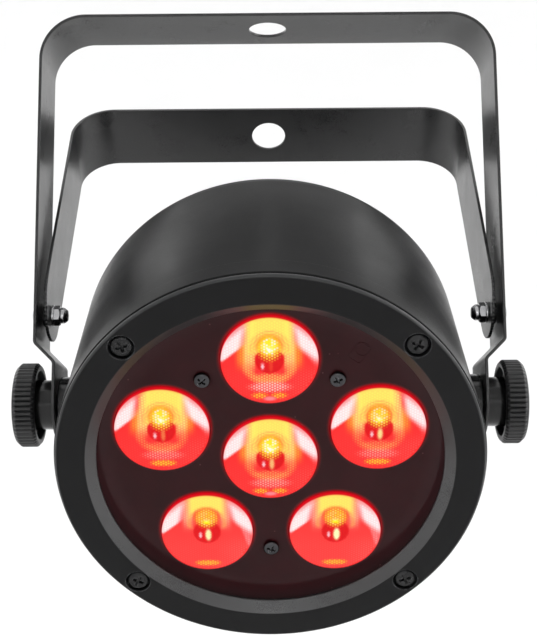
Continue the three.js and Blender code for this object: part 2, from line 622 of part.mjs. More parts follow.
function menuButton(x, i) {
  const solid = revolve(profileAt(BUTTON_PROFILE), SIDES_SMALL);
  return part(`menu_button_${i + 1}`, solid.translate([x, BUTTON_Y, 0]), BLACK_PLASTIC);
}

// ---------------------------------------------------------------- screws
// A pan head with a cross recess, facing along +Z, with its seat at z = 0 and its shank below.
const M4 = { head: 4, height: 1.9, shank: 2, length: 5.2, recess: 2.3, seat: 2.2 };
const M3 = { head: 3, height: 1.6, shank: 1.5, length: 4.5, recess: 1.7 };
const FIRST_TURN = 30;          // each screw stopped at its own angle
const NEXT_TURN = 37;

function panScrew({ head, height, shank, length, recess }) {
  const solid = revolve([
    [0, -length], [shank, -length], [shank, 0], [head, 0], [head, height * 0.5], [head * 0.7, height],
    [0, height],
  ], SIDES_SCREW);
  const arm = recess * 0.28;
  const outline = [[-recess, -arm], [recess, -arm], [recess, arm], [-recess, arm]];
  const bar = prism(outline, height * 0.35, height + 1);
  return cut(solid, bar, bar.rotate([0, 0, 90]));
}

function screwSet(prefix, angles, pitch, seat, size, material, flip) {
  const screw = panScrew(size);
  return angles.map((angle, i) => {
    const [x, y] = ring(angle, pitch);
    const turned = screw.rotate([flip ? 180 : 0, 0, angle + FIRST_TURN + NEXT_TURN * i]);
    return part(`${prefix}_${i + 1}`, turned.translate([x, y, depth(seat)]), material);
  });
}

function screws() {
  return [
    ...screwSet('bezel_screw', BEZEL_SCREWS, BEZEL_SCREW_PITCH, M4.seat, M4, BLACK_STEEL, false),
    ...screwSet('panel_screw', PANEL_SCREWS, PANEL_SCREW_PITCH, PANEL_DEPTH - GAP, M3, DARK_NICKEL, false),
    ...screwSet('rear_screw', REAR_SCREWS, REAR_SCREW_PITCH, REAR_FACE + GAP, M3, BLACK_STEEL, true),
  ];
}

// ---------------------------------------------------------------- assembly
function can() {
  const group = new THREE.Group();
  group.add(
    frontBezel(), collarRing(), canHousing(), rearPanel(), lensPanel(), lensCarrier(), ledBoard(), heatSink(),
    ...lensCentres().map((centre, i) => lens(centre, i ? `lens_${i}` : 'lens_centre')),
    ...electronics(), ...powerSockets(), ...dmxSockets(), ...fuseHolder(), safetyEye(),
    ...BUTTON_X.map(menuButton), ...screws(),
  );
  return group;
}

function parCan() {
  const lamp = new THREE.Group();

  const tilting = can();
  tilting.position.z = -YOKE_HEIGHT;
  tilting.rotation.x = (90 + AIM_DOWN) * RAD;
  lamp.add(tilting);

  for (const side of [-1, 1]) {
    const clamp = tiltClamp(side);
    tilting.add(clamp.carried);
    clamp.loose.position.z = -YOKE_HEIGHT;
    lamp.add(clamp.loose);
    const pivot = pivotHardware(side);
    pivot.position.z = PIVOT_LIFT - YOKE_HEIGHT;
    lamp.add(pivot);
  }

  const stand = new THREE.Group();
  stand.position.z = PIVOT_LIFT - YOKE_HEIGHT;
  stand.rotation.x = -STAND_LEAN * RAD;
  stand.add(standYoke());
  lamp.add(stand);

  lamp.add(mainYoke());
  return lamp;
}

export default parCan();
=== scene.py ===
import json
import math

import bmesh
import bpy
from mathutils import Matrix, Vector
from mathutils.geometry import delaunay_2d_cdt


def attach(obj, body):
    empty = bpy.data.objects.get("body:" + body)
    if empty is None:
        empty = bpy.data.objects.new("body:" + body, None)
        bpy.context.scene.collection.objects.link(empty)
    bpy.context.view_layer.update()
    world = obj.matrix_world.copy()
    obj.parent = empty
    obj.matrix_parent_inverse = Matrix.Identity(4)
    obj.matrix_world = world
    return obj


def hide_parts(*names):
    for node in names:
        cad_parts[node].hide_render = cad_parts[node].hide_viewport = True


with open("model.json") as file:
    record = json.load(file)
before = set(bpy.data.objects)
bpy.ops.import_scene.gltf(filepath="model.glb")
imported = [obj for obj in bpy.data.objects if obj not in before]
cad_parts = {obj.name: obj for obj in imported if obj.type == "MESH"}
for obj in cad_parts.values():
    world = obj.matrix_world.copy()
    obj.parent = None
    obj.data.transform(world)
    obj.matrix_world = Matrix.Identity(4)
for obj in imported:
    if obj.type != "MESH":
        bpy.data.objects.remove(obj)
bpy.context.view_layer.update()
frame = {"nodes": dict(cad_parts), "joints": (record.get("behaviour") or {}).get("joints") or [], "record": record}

MM = 0.001  # shapes are drawn in millimetres and placed in metres

# ---------------- the lamp's frames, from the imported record
JOINTS = {joint["name"]: joint for joint in frame["joints"]}
MOUNTS = {mount["name"]: mount for mount in frame["record"]["mounts"]}
RIGHT = Vector((1, 0, 0))
TILT = Vector(JOINTS["can_tilt"]["pos_m"])
PIVOT = Vector(JOINTS["stand_swing"]["pos_m"])
AIM = Vector(JOINTS["button_1_press"]["axis"]).normalized()
STAND_UP = Vector(MOUNTS["stand_bar"]["axis"]).normalized()


def rigid(origin, x, y, z):
    """A frame with these axes at an origin."""
    return Matrix.Translation(origin) @ Matrix((x, y, z)).transposed().to_4x4()


def sideways(side, height):
    """A frame whose Z points out of the lamp to the right (side 1) or left (side -1)."""
    return rigid((0, 0, height), (0, 0, -1), (0, side, 0), (side, 0, 0))


WORLD = Matrix.Identity(4)
CAN = rigid(TILT, RIGHT, AIM.cross(RIGHT), AIM)
STAND = rigid(PIVOT, RIGHT, STAND_UP.cross(RIGHT), STAND_UP)
SIDES = {"left": -1, "right": 1}


def span(node, place=CAN):
    """Lowest and highest corner of a CAD node in a frame, in millimetres."""
    inverse = place.inverted()
    points = [inverse @ vertex.co / MM for vertex in frame["nodes"][node].data.vertices]
    return [Vector(pick(p[i] for p in points) for i in range(3)) for pick in (min, max)]


def middle(node, place=CAN):
    low, high = span(node, place)
    return (low + high) / 2


FRONT = span("front_bezel")[1].z  # the can's front plane, ahead of the tilt axis
BEZEL_RADIUS = span("front_bezel")[1].x
COLLAR_RADIUS = span("collar_ring")[1].x
DRUM_RADIUS = span("can_housing")[1].x
PANEL_FACE = span("lens_panel")[1].z
PANEL_BACK = span("lens_panel")[0].z
REAR_END = span("can_housing")[0].z
STRIP = -MOUNTS["crossbar_under"]["pos_m"][2] / MM
STRIP_HALF = span("main_yoke", WORLD)[1].y
LENSES = ["lens_centre"] + [f"lens_{i}" for i in range(1, 6)]
LENS_RADIUS = (span("lens_centre")[1].x - span("lens_centre")[0].x) / 2

BEZEL_INNER = 66.2  # where the ring's flat face turns into its chamfer
LIP_INNER = 62.6  # and where the chamfer ends, in a thin lip
COLLAR_WALL = 1.8
DRUM_WALL = 1.5
DRUM_SHOULDER = 16
REAR_OPENING = 58
STUD_HOLE = 3.4
GAP = 0.3


def depth(distance):
    """The height in the can's frame of a distance behind its front plane."""
    return FRONT - distance


# ---------------- mesh helpers
def fillet(points, steps=6):
    """A closed outline of (a, b) or (a, b, radius) corners, with the radii turned into arcs."""
    outline = []
    for i, (a, b, *radius) in enumerate(points):
        if not radius:
            outline.append((a, b))
            continue
        corner = Vector((a, b))
        before = (Vector(points[i - 1][:2]) - corner).normalized()
        after = (Vector(points[(i + 1) % len(points)][:2]) - corner).normalized()
        half = before.angle(after) / 2
        centre = corner + (before + after).normalized() * radius[0] / math.sin(half)
        start = corner + before * radius[0] / math.tan(half) - centre
        end = corner + after * radius[0] / math.tan(half) - centre
        first = math.atan2(start.y, start.x)
        sweep = math.remainder(math.atan2(end.y, end.x) - first, 2 * math.pi)
        for k in range(steps + 1):
            angle = first + sweep * k / steps
            outline.append((centre.x + radius[0] * math.cos(angle), centre.y + radius[0] * math.sin(angle)))
    return outline


def arc(x, y, radius, start, end, steps):
    """Points on an arc, with its angles in degrees."""
    angles = [math.radians(start + (end - start) * k / steps) for k in range(steps + 1)]
    return [(x + radius * math.cos(a), y + radius * math.sin(a)) for a in angles]


def circle(radius, sides=48, x=0, y=0):
    return arc(x, y, radius, 0, 360, sides)[:-1]


def rounded_box(width, height, radius, x=0, y=0):
    w, h = width / 2, height / 2
    return fillet([(x + i * w, y + j * h, radius) for i, j in ((1, 1), (-1, 1), (-1, -1), (1, -1))])


def lathe(profile, sides=96):
    """A closed profile of (radius, height) points turned about Z."""
    bm = bmesh.new()
    turns = [2 * math.pi * k / sides for k in range(sides)]
    rings = []
    for r, z in profile:
        angles = [0] if r < 1e-6 else turns
        rings.append([bm.verts.new((r * math.cos(a), r * math.sin(a), z)) for a in angles])
    for lower, upper in zip(rings, rings[1:] + rings[:1]):
        if len(lower) == len(upper) == 1:
            continue
        for k in range(sides):
            turns = ((lower, k), (lower, k + 1), (upper, k + 1), (upper, k))
            corners = [ring[j % len(ring)] for ring, j in turns]
            bm.faces.new(list(dict.fromkeys(corners)))
    bmesh.ops.recalc_face_normals(bm, faces=bm.faces)
    return bm


def prism(outline, low, high, taper=1.0):
    """A flat outline pushed from one height to another; taper scales its low end."""
    bm = bmesh.new()
    ends = [[bm.verts.new((x * s, y * s, z)) for x, y in outline] for s, z in ((taper, low), (1, high))]
    count = len(outline)
    for k in range(count):
        bm.faces.new((ends[0][k], ends[0][(k + 1) % count], ends[1][(k + 1) % count], ends[1][k]))
    bm.faces.new(ends[0])
    bm.faces.new(ends[1])
    bmesh.ops.recalc_face_normals(bm, faces=bm.faces)
    return bm


def moved(bm, x=0, y=0, z=0, matrix=None):
    bmesh.ops.transform(bm, matrix=matrix or Matrix.Translation((x, y, z)), verts=bm.verts)
    return bm


def joined(*parts):
    """Several bmeshes as one."""
    whole = bmesh.new()
    for bm in parts:
        mesh = bpy.data.meshes.new("part")
        bm.to_mesh(mesh)
        bm.free()
        whole.from_mesh(mesh)
        bpy.data.meshes.remove(mesh)
    return whole


def scratch(bm):
    """A bmesh as an object that modifiers can work on."""
    mesh = bpy.data.meshes.new("scratch")
    bm.to_mesh(mesh)
    bm.free()
    thing = bpy.data.objects.new("scratch", mesh)
    bpy.context.scene.collection.objects.link(thing)
    return thing


def discard(thing):
    mesh = thing.data
    bpy.data.objects.remove(thing)
    bpy.data.meshes.remove(mesh)


def evaluated(thing):
    """The mesh that an object's modifiers make."""
    bpy.context.view_layer.update()
    graph = bpy.context.evaluated_depsgraph_get()
    return bpy.data.meshes.new_from_object(thing.evaluated_get(graph), depsgraph=graph)


def modified(thing):
    """The result of a scratch object's modifiers as a bmesh."""
    mesh = evaluated(thing)
    discard(thing)
    bm = bmesh.new()
    bm.from_mesh(mesh)
    bpy.data.meshes.remove(mesh)
    return bm


def carve(bm, tool, operation="DIFFERENCE"):
    """The boolean difference, union or intersection of two closed bmeshes."""
    base, other = scratch(bm), scratch(tool)
    cut = base.modifiers.new("cut", "BOOLEAN")
    cut.object, cut.operation, cut.solver = other, operation, "EXACT"
    result = modified(base)
    discard(other)
    bmesh.ops.remove_doubles(result, verts=result.verts, dist=1e-4)
    return result


def soften(bm, width, segments=3, angle=40):
    """Rounds every edge that is sharper than an angle."""
    base = scratch(bm)
    bevel = base.modifiers.new("soften", "BEVEL")
    bevel.limit_method, bevel.angle_limit = "ANGLE", math.radians(angle)
    bevel.width, bevel.segments = width, segments
    return modified(base)


def piece(name, bm, place, body, replaced, material, crease=38):
    """A finished piece: placed in metres, smooth except at its creases, and riding on its body."""
    bmesh.ops.recalc_face_normals(bm, faces=bm.faces)
    mesh = bpy.data.meshes.new(name)
    bm.to_mesh(mesh)
    bm.free()
    mesh.transform(place @ Matrix.Scale(MM, 4))
    mesh.shade_smooth()
    mesh.set_sharp_from_angle(angle=math.radians(crease))
    thing = bpy.data.objects.new(name, mesh)
    bpy.context.scene.collection.objects.link(thing)
    even = thing.modifiers.new("even_shading", "WEIGHTED_NORMAL")
    even.keep_sharp = True
    shaded = evaluated(thing)
    thing.modifiers.clear()
    thing.data = shaded
    bpy.data.meshes.remove(mesh)
    shaded.name = name
    shaded.materials.append(material)
    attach(thing, body)
    if replaced:
        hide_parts(*replaced)
    return thing


# ---------------- material helpers
def can_piece(name, bm, replaced, material, crease=38):
    """A piece fixed to the can, drawn in the can's frame."""
    return piece(name, bm, CAN, "can", replaced, material, crease)


def node(tree, kind, **values):
    """A new shader node; a value that is a socket is linked, and any other is set."""
    made = tree.nodes.new(kind)
    for key, value in values.items():
        if hasattr(made, key):
            setattr(made, key, value)
            continue
        name = key.replace("_", " ")
        socket = made.inputs[int(key[1:])] if key[0] == "i" and key[1:].isdigit() else made.inputs[name]
        if isinstance(value, bpy.types.NodeSocket):
            tree.links.new(value, socket)
        else:
            socket.default_value = value
    return made


def maths(tree, operation, a, b=0.0, clamp=False):
    return node(tree, "ShaderNodeMath", operation=operation, use_clamp=clamp, i0=a, i1=b).outputs[0]


def ramp(tree, value, low, high, to_low=0.0, to_high=1.0):
    """Maps low..high onto to_low..to_high, clamped."""
    return node(tree, "ShaderNodeMapRange", Value=value, From_Min=low, From_Max=high,
                To_Min=to_low, To_Max=to_high).outputs["Result"]


def blend_color(tree, factor, a, b):
    mix = node(tree, "ShaderNodeMix", data_type="RGBA")
    for socket, value in ((mix.inputs[0], factor), (mix.inputs[6], a), (mix.inputs[7], b)):
        if isinstance(value, bpy.types.NodeSocket):
            tree.links.new(value, socket)
        else:
            socket.default_value = value
    return mix.outputs[2]


def noise(tree, size, detail=2.0, stretch=None):
    """Noise in the object's own space, with features of a size in millimetres."""
    where = node(tree, "ShaderNodeTexCoord").outputs["Object"]
    if stretch:
        where = node(tree, "ShaderNodeMapping", Vector=where, Scale=stretch).outputs["Vector"]
    return node(tree, "ShaderNodeTexNoise", Vector=where, Scale=1 / (size * MM), Detail=detail).outputs["Fac"]


def pale_edges_wear_and_highlight(tree, radius, low, high):
    """1 along convex edges, 0 on flat faces, broken up by noise; the pale colour laid there is edge wear and a
    painted highlight along the edges at once.
    """
    rounded = node(tree, "ShaderNodeBevel", samples=4, Radius=radius * MM).outputs["Normal"]
    flat = node(tree, "ShaderNodeNewGeometry").outputs["Normal"]
    facing = node(tree, "ShaderNodeVectorMath", operation="DOT_PRODUCT", i0=rounded, i1=flat).outputs["Value"]
    edge = ramp(tree, maths(tree, "SUBTRACT", 1.0, facing), low, high)
    return maths(tree, "MULTIPLY", edge, ramp(tree, noise(tree, 1.5, 3), 0.35, 0.6))


def rgba(color, factor=1.0):
    return tuple(min(channel * factor, 1.0) for channel in color) + (1.0,)


def finish(name, color, roughness, grain, relief, mottle=0.15, spread=0.06, edge_wear_and_highlight=None, stretch=None, **fixed):
    """A procedural finish: mottled colour, uneven gloss, grain of a size and height in millimetres, and optionally
    pale convex edges that are painted highlight as well as wear.
    """
    material = bpy.data.materials.new(name)
    material.use_nodes = True
    tree = material.node_tree
    shader = tree.nodes["Principled BSDF"]
    cloud = noise(tree, 14, 4)
    fine = noise(tree, grain, 3, stretch)
    tint = blend_color(tree, ramp(tree, cloud, 0.3, 0.7), rgba(color, 1 - mottle), rgba(color, 1 + mottle))
    # Pale convex edges: wear, together with a painted highlight where light would catch the rounded edges.
    if edge_wear_and_highlight:
        edge = pale_edges_wear_and_highlight(tree, *edge_wear_and_highlight[1:])
        tint = blend_color(tree, edge, tint, rgba(edge_wear_and_highlight[0]))
    tree.links.new(tint, shader.inputs["Base Color"])
    uneven = maths(tree, "ADD", maths(tree, "MULTIPLY", cloud, 0.5), maths(tree, "MULTIPLY", fine, 0.5))
    gloss = ramp(tree, uneven, 0.3, 0.7, max(roughness - spread, 0.02), roughness + spread)
    tree.links.new(gloss, shader.inputs["Roughness"])
    bump = node(tree, "ShaderNodeBump", Strength=1.0, Distance=relief * MM, Height=fine)
    tree.links.new(bump.outputs["Normal"], shader.inputs["Normal"])
    for key, value in fixed.items():
        shader.inputs[key.replace("_", " ")].default_value = value
    return material


# ---------------- materials
# The pale edges given to the powder coat and the screw finishes are painted highlights along rounded edges as well
# as wear.
POWDER = finish("powder_coat", (0.009, 0.009, 0.0094), 0.3, 0.35, 0.012,
                edge_wear_and_highlight=((0.09, 0.09, 0.09), 0.35, 0.03, 0.3), Specular_IOR_Level=0.5)
CAN_PAINT = finish("can_paint", (0.005, 0.005, 0.0052), 0.33, 0.5, 0.006, Specular_IOR_Level=0.1)
PLASTIC = finish("moulded_plastic", (0.007, 0.007, 0.0075), 0.38, 0.25, 0.004, Specular_IOR_Level=0.4)
POLISHED = finish("polished_black", (0.006, 0.006, 0.006), 0.16, 0.8, 0.001, spread=0.04,
                  Specular_IOR_Level=0.3)
OXIDE = finish("black_oxide", (0.010, 0.010, 0.0105), 0.3, 0.3, 0.003,
               edge_wear_and_highlight=((0.4, 0.4, 0.41), 0.22, 0.04, 0.3), Metallic=0.5)
BLUED = finish("blued_steel", (0.05, 0.05, 0.053), 0.14, 0.3, 0.002, edge_wear_and_highlight=((0.6, 0.6, 0.61), 0.2, 0.04, 0.3),
               Metallic=1.0)
ZINC = finish("zinc_plate", (0.62, 0.63, 0.65), 0.26, 0.3, 0.003, Metallic=1.0)
NICKEL = finish("dark_nickel", (0.40, 0.40, 0.41), 0.24, 0.5, 0.002, Metallic=1.0)
RUBBER = finish("fibre_washer", (0.012, 0.012, 0.012), 0.7, 0.2, 0.01)
ALUMINIUM = finish("bare_aluminium", (0.58, 0.59, 0.60), 0.35, 0.4, 0.004, Metallic=1.0, stretch=(1, 12, 12))
BOARD = finish("circuit_board", (0.02, 0.11, 0.045), 0.35, 0.6, 0.004)
BOARD_WHITE = finish("led_board", (0.75, 0.75, 0.72), 0.45, 0.4, 0.003)
WINDOW = finish("display_window", (0.004, 0.004, 0.005), 0.06, 2.0, 0.0005, spread=0.02)


def vector_maths(tree, operation, output, a, b=(0, 0, 0)):
    return node(tree, "ShaderNodeVectorMath", operation=operation, i0=a, i1=b).outputs[output]


def ring_material():
    """A finely textured casting, smoother, glossier and paler where the mesh's satin value says so; that paleness
    is a painted highlight, and its pale edges are painted highlight as well as wear.
    """
    material = finish("cast_black", (0.0036, 0.0037, 0.004), 0.46, 0.28, 0.02,
                      edge_wear_and_highlight=((0.16, 0.16, 0.165), 0.6, 0.02, 0.22))
    tree = material.node_tree
    shader = tree.nodes["Principled BSDF"]
    satin_and_painted_highlight = node(tree, "ShaderNodeAttribute", attribute_name="satin_and_painted_highlight").outputs["Fac"]
    base, rough = (shader.inputs[key].links[0].from_socket for key in ("Base Color", "Roughness"))
    # Painted highlight: the base colour turns paler where the satin value is high.
    tree.links.new(blend_color(tree, satin_and_painted_highlight, base, (0.034, 0.035, 0.036, 1)), shader.inputs["Base Color"])
    smoother = maths(tree, "SUBTRACT", rough, maths(tree, "MULTIPLY", satin_and_painted_highlight, 0.16))
    tree.links.new(smoother, shader.inputs["Roughness"])
    tree.links.new(ramp(tree, satin_and_painted_highlight, 0, 1, 0.15, 0.55), shader.inputs["Specular IOR Level"])
    return material


def panel_material():
    """Gloss black moulding with pale specks, a painted red glow round each lens that is strongest above it, and a
    painted pale glow towards its outer edge that lifts the shade there.
    """
    material = finish("panel_gloss", (0.022, 0.0035, 0.0045), 0.2, 0.6, 0.002, Specular_IOR_Level=0.12)
    tree = material.node_tree
    shader = tree.nodes["Principled BSDF"]
    where = node(tree, "ShaderNodeTexCoord").outputs["Object"]
    up = CAN.to_3x3() @ Vector((0, 1, 0))
    # Painted light: a red glow on the panel round each lens, as if the lenses lit it, stronger above each one.
    glow = 0.0
    for name in LENSES:
        low, high = span(name)
        centre = CAN @ (Vector(((low.x + high.x) / 2, (low.y + high.y) / 2, PANEL_FACE)) * MM)
        offset = vector_maths(tree, "SUBTRACT", "Vector", where, centre)
        away = vector_maths(tree, "LENGTH", "Value", offset)
        height = vector_maths(tree, "DOT_PRODUCT", "Value", offset, up)
        fade = ramp(tree, away, LENS_RADIUS * MM, (LENS_RADIUS + 1.8) * MM, 1.0, 0.0)
        near = maths(tree, "POWER", fade, 2.0)
        above = ramp(tree, maths(tree, "DIVIDE", height, away), -0.9, 0.9, 0.05, 0.8)
        glow = maths(tree, "ADD", glow, maths(tree, "MULTIPLY", near, above))
    # Painted fill light: a faint emission in a band near the panel's outer edge, lifting the shade under the
    # ring's lip.
    offset = vector_maths(tree, "SUBTRACT", "Vector", where, CAN @ Vector((0, 0, PANEL_FACE * MM)))
    out = vector_maths(tree, "LENGTH", "Value", offset)
    painted_fill_light = ramp(tree, out, 55 * MM, 63 * MM, 0.0, 0.012)
    tree.links.new(maths(tree, "ADD", glow, painted_fill_light), shader.inputs["Emission Strength"])
    shade = blend_color(tree, ramp(tree, glow, 0.0, 0.03), (1, 0.62, 0.66, 1), (0.9, 0.004, 0.012, 1))
    tree.links.new(shade, shader.inputs["Emission Color"])
    spots = node(tree, "ShaderNodeTexVoronoi", Vector=where, Scale=1 / (7 * MM))
    speck = ramp(tree, spots.outputs["Distance"], 0.03, 0.05, 0.5, 0.0)
    base = shader.inputs["Base Color"].links[0].from_socket
    tree.links.new(blend_color(tree, speck, base, (0.16, 0.07, 0.07, 1)), shader.inputs["Base Color"])
    return material


def lens_material():
    """Clear acrylic over a lit reflector: the light leaving each facet is stored on the mesh, with painted
    reflections and a painted glint in it.
    """
    material = finish("lit_lens", (0.02, 0.001, 0.001), 0.12, 0.5, 0.001, Specular_IOR_Level=0.12)
    tree = material.node_tree
    shader = tree.nodes["Principled BSDF"]
    light = node(tree, "ShaderNodeVertexColor", layer_name="light").outputs["Color"]
    tree.links.new(light, shader.inputs["Emission Color"])
    shader.inputs["Emission Strength"].default_value = 1.0
    return material


CAST_BLACK = ring_material()
PANEL_GLOSS = panel_material()
LENS = lens_material()


# ---------------- bent strip yokes
HANG_HOLE = 7.5
PIVOT_HOLE = 2.3
YOKE_BEND = 17.5
JOG_BEND = 2.2
JOG_TOP = 22.7  # heights above the tilt axis
JOG_BOTTOM = 15.3
STAND_BAR_HALF = 85.9  # centre line of the stand yoke's arms at its crossbar
STAND_KINK = 20  # where its arms start to lean in
STAND_KINK_BEND = 60
NOTCHES = 27
NOTCH_DEPTH = 0.3
SLICE = 1.4  # length of bend to one facet


def bend_runs(corners, bends):
    """A line with round bends, as runs of (length, start, heading, curvature)."""
    runs, here = [], Vector(corners[0])
    for i, bend in enumerate(bends, 1):
        corner = Vector(corners[i])
        into, out = corner - Vector(corners[i - 1]), Vector(corners[i + 1]) - corner
        heading = math.atan2(into.y, into.x)
        sweep = math.remainder(math.atan2(out.y, out.x) - heading, 2 * math.pi)
        reach = bend * math.tan(abs(sweep) / 2)
        start = corner - into.normalized() * reach
        runs.append(((start - here).length, here, heading, 0.0))
        runs.append((bend * abs(sweep), start, heading, math.copysign(1 / bend, sweep)))
        here = corner + out.normalized() * reach
    last = Vector(corners[-1]) - here
    runs.append((last.length, here, math.atan2(last.y, last.x), 0.0))
    return runs


def locate(runs, along):
    """The point at a length along the runs, and the direction to its left."""
    for length, start, heading, bend in runs:
        if along <= length or (length, start) == runs[-1][:2]:
            break
        along -= length
    turned = heading + bend * along
    if bend:
        offset = Vector((math.sin(turned) - math.sin(heading), math.cos(heading) - math.cos(turned))) / bend
    else:
        offset = Vector((math.cos(heading), math.sin(heading))) * along
    return start + offset, Vector((-math.sin(turned), math.cos(turned)))


def along_to(runs, height):
    """The length along the first arm at which it reaches a height."""
    low, high = 0.0, sum(run[0] for run in runs) / 2
    for _ in range(40):
        mid = (low + high) / 2
        low, high = (mid, high) if locate(runs, mid)[0].y < height else (low, mid)
    return low


def blank_end(centre, start, notched):
    """A half-round end of the flat strip, plain or with fine notches."""
    steps = NOTCHES * 8 if notched else 48
    points = []
    for k in range(steps + 1):
        angle = math.radians(start) + math.pi * k / steps
        dip = NOTCH_DEPTH * max(0.0, -math.cos(2 * math.pi * k / 8)) if notched else 0.0
        points.append((centre + (STRIP_HALF - dip) * math.cos(angle), (STRIP_HALF - dip) * math.sin(angle)))
    return points


def bent_strip(corners, bends, arm_holes, notched):
    """A strip blanked flat with round ends and holes, its edges rounded, then bent along its centre line."""
    runs = bend_runs(corners, bends)
    total = sum(run[0] for run in runs)
    outline = blank_end(STRIP_HALF, 90, notched) + blank_end(total - STRIP_HALF, -90, notched)
    blank = prism(outline, -STRIP / 2, STRIP / 2)
    holes = [prism(circle(HANG_HOLE, 64, total / 2), -STRIP, STRIP)]
    for radius, height in arm_holes:
        u = along_to(runs, height)
        holes += [prism(circle(radius, 32, x), -STRIP, STRIP) for x in (u, total - u)]
    blank = soften(carve(blank, joined(*holes)), 0.3)
    passed = 0.0
    for length, _, _, bend in runs:
        cuts = max(math.ceil(length / SLICE), math.ceil(abs(bend) * length / 0.12)) if bend else 0
        for k in range(cuts + 1 if cuts else 0):
            everything = blank.verts[:] + blank.edges[:] + blank.faces[:]
            bmesh.ops.bisect_plane(blank, geom=everything, plane_co=(passed + length * k / cuts, 0, 0),
                                   plane_no=(1, 0, 0), dist=1e-4)
        passed += length
    for vertex in blank.verts:
        u, v, w = vertex.co
        point, inward = locate(runs, u)
        vertex.co = (point.x + inward.x * w, v, point.y + inward.y * w)
    return blank


def mirrored(half):
    """A half outline from the right foot to the crossbar's corner, with its mirror image."""
    return half + [(-x, z) for x, z in reversed(half)]


def main_yoke():
    low, high = span("main_yoke", WORLD)
    tilt, pivot = TILT.z / MM, PIVOT.z / MM
    arm = high.x - STRIP / 2
    narrow = span("knob_collar_right", WORLD)[0].x - GAP - STRIP / 2
    corners = mirrored([(narrow, low.z), (narrow, tilt + JOG_BOTTOM), (arm, tilt + JOG_TOP),
                        (arm, -STRIP / 2)])
    bends = [JOG_BEND, JOG_BEND, YOKE_BEND, YOKE_BEND, JOG_BEND, JOG_BEND]
    strip = bent_strip(corners, bends, [(PIVOT_HOLE, pivot), (STUD_HOLE, tilt)], False)
    piece("hanging_bracket", strip, WORLD, "hanging_yoke", ["main_yoke"], POWDER)


def stand_yoke():
    low, high = span("stand_yoke", STAND)
    arm = high.x - STRIP / 2
    top = high.z - STRIP / 2
    corners = mirrored([(arm, low.z), (arm, STAND_KINK), (STAND_BAR_HALF, top)])
    bends = [STAND_KINK_BEND, YOKE_BEND, YOKE_BEND, STAND_KINK_BEND]
    strip = bent_strip(corners, bends, [(PIVOT_HOLE, 0)], True)
    piece("stand_bracket", strip, STAND, "stand", ["stand_yoke"], POWDER)


# ---------------- stand pivots
def hexagon(across_flats):
    return circle(across_flats / math.sqrt(3), 6)


def stand_pivot(name, side):
    place = sideways(side, PIVOT.z)
    bolt_low, bolt_high = span(f"pivot_bolt_{name}", place)
    nut_low, nut_high = span(f"pivot_nut_{name}", place)
    washer_low, washer_high = span(f"pivot_washer_{name}", place)
    seat, top = bolt_high.z - 2.6, bolt_high.z
    bolt = lathe(fillet([(0, bolt_low.z), (2, bolt_low.z, 0.4), (2, seat), (4, seat, 0.2),
                         (4, top - 0.4, 1.3), (0, top)]), 48)
    socket = moved(prism(hexagon(2.5), 0, 3, 0.9), z=top - 1.5)
    piece(f"pivot_bolt_head_{name}", carve(bolt, socket), place, "hanging_yoke", [f"pivot_bolt_{name}"],
          NICKEL)
    washer = lathe(fillet([(2.4, washer_low.z, 0.15), (4.5, washer_low.z, 0.3), (4.5, washer_high.z, 0.3),
                           (2.4, washer_high.z, 0.15)]), 48)
    piece(f"pivot_spacer_{name}", washer, place, "hanging_yoke", [f"pivot_washer_{name}"],
          RUBBER)
    face, end = nut_high.z, nut_low.z
    flange = lathe(fillet([(0, face - 1), (4.2, face - 1, 0.3), (4.2, face, 0.2), (0, face)]), 48)
    trim = lathe(fillet([(0, face - 3.4), (3.4, face - 3.4), (4.05, face - 2.9), (4.05, face - 0.9),
                         (0, face - 0.9)]), 48)
    body = carve(moved(prism(hexagon(7), -3.4, -0.9), z=face), trim, "INTERSECT")
    dome = lathe(fillet([(0, end), (2.1, end + 0.15, 1.0), (3.2, end + 1.6, 1.2), (3.2, end + 2.7, 0.3),
                         (2.8, end + 3.0, 0.2), (2.8, end + 3.4), (0, end + 3.4)]), 48)
    nut = carve(carve(flange, body, "UNION"), dome, "UNION")
    bore = moved(prism(circle(2.4, 24), 81.6, face + 1))
    piece(f"pivot_cap_nut_{name}", soften(carve(nut, bore), 0.12, 2), place, "hanging_yoke",
          [f"pivot_nut_{name}"], NICKEL)


# ---------------- tilt clamps
RIBS = 52
RIB_POINTS = 6
RIB_DEPTH = 0.78


def ribbed(profile, crest):
    """A profile turned about Z, with its widest part cut into ribs."""
    bm = lathe(profile, RIBS * RIB_POINTS)
    for vertex in bm.verts:
        radius = math.hypot(vertex.co.x, vertex.co.y)
        phase = math.atan2(vertex.co.y, vertex.co.x) / (2 * math.pi) * RIBS % 1
        off_crest = abs(phase - 0.5) * 2
        limit = crest - RIB_DEPTH * max(0.0, off_crest - 0.3) / 0.7
        if radius > limit:
            vertex.co.x *= limit / radius
            vertex.co.y *= limit / radius
    return bm


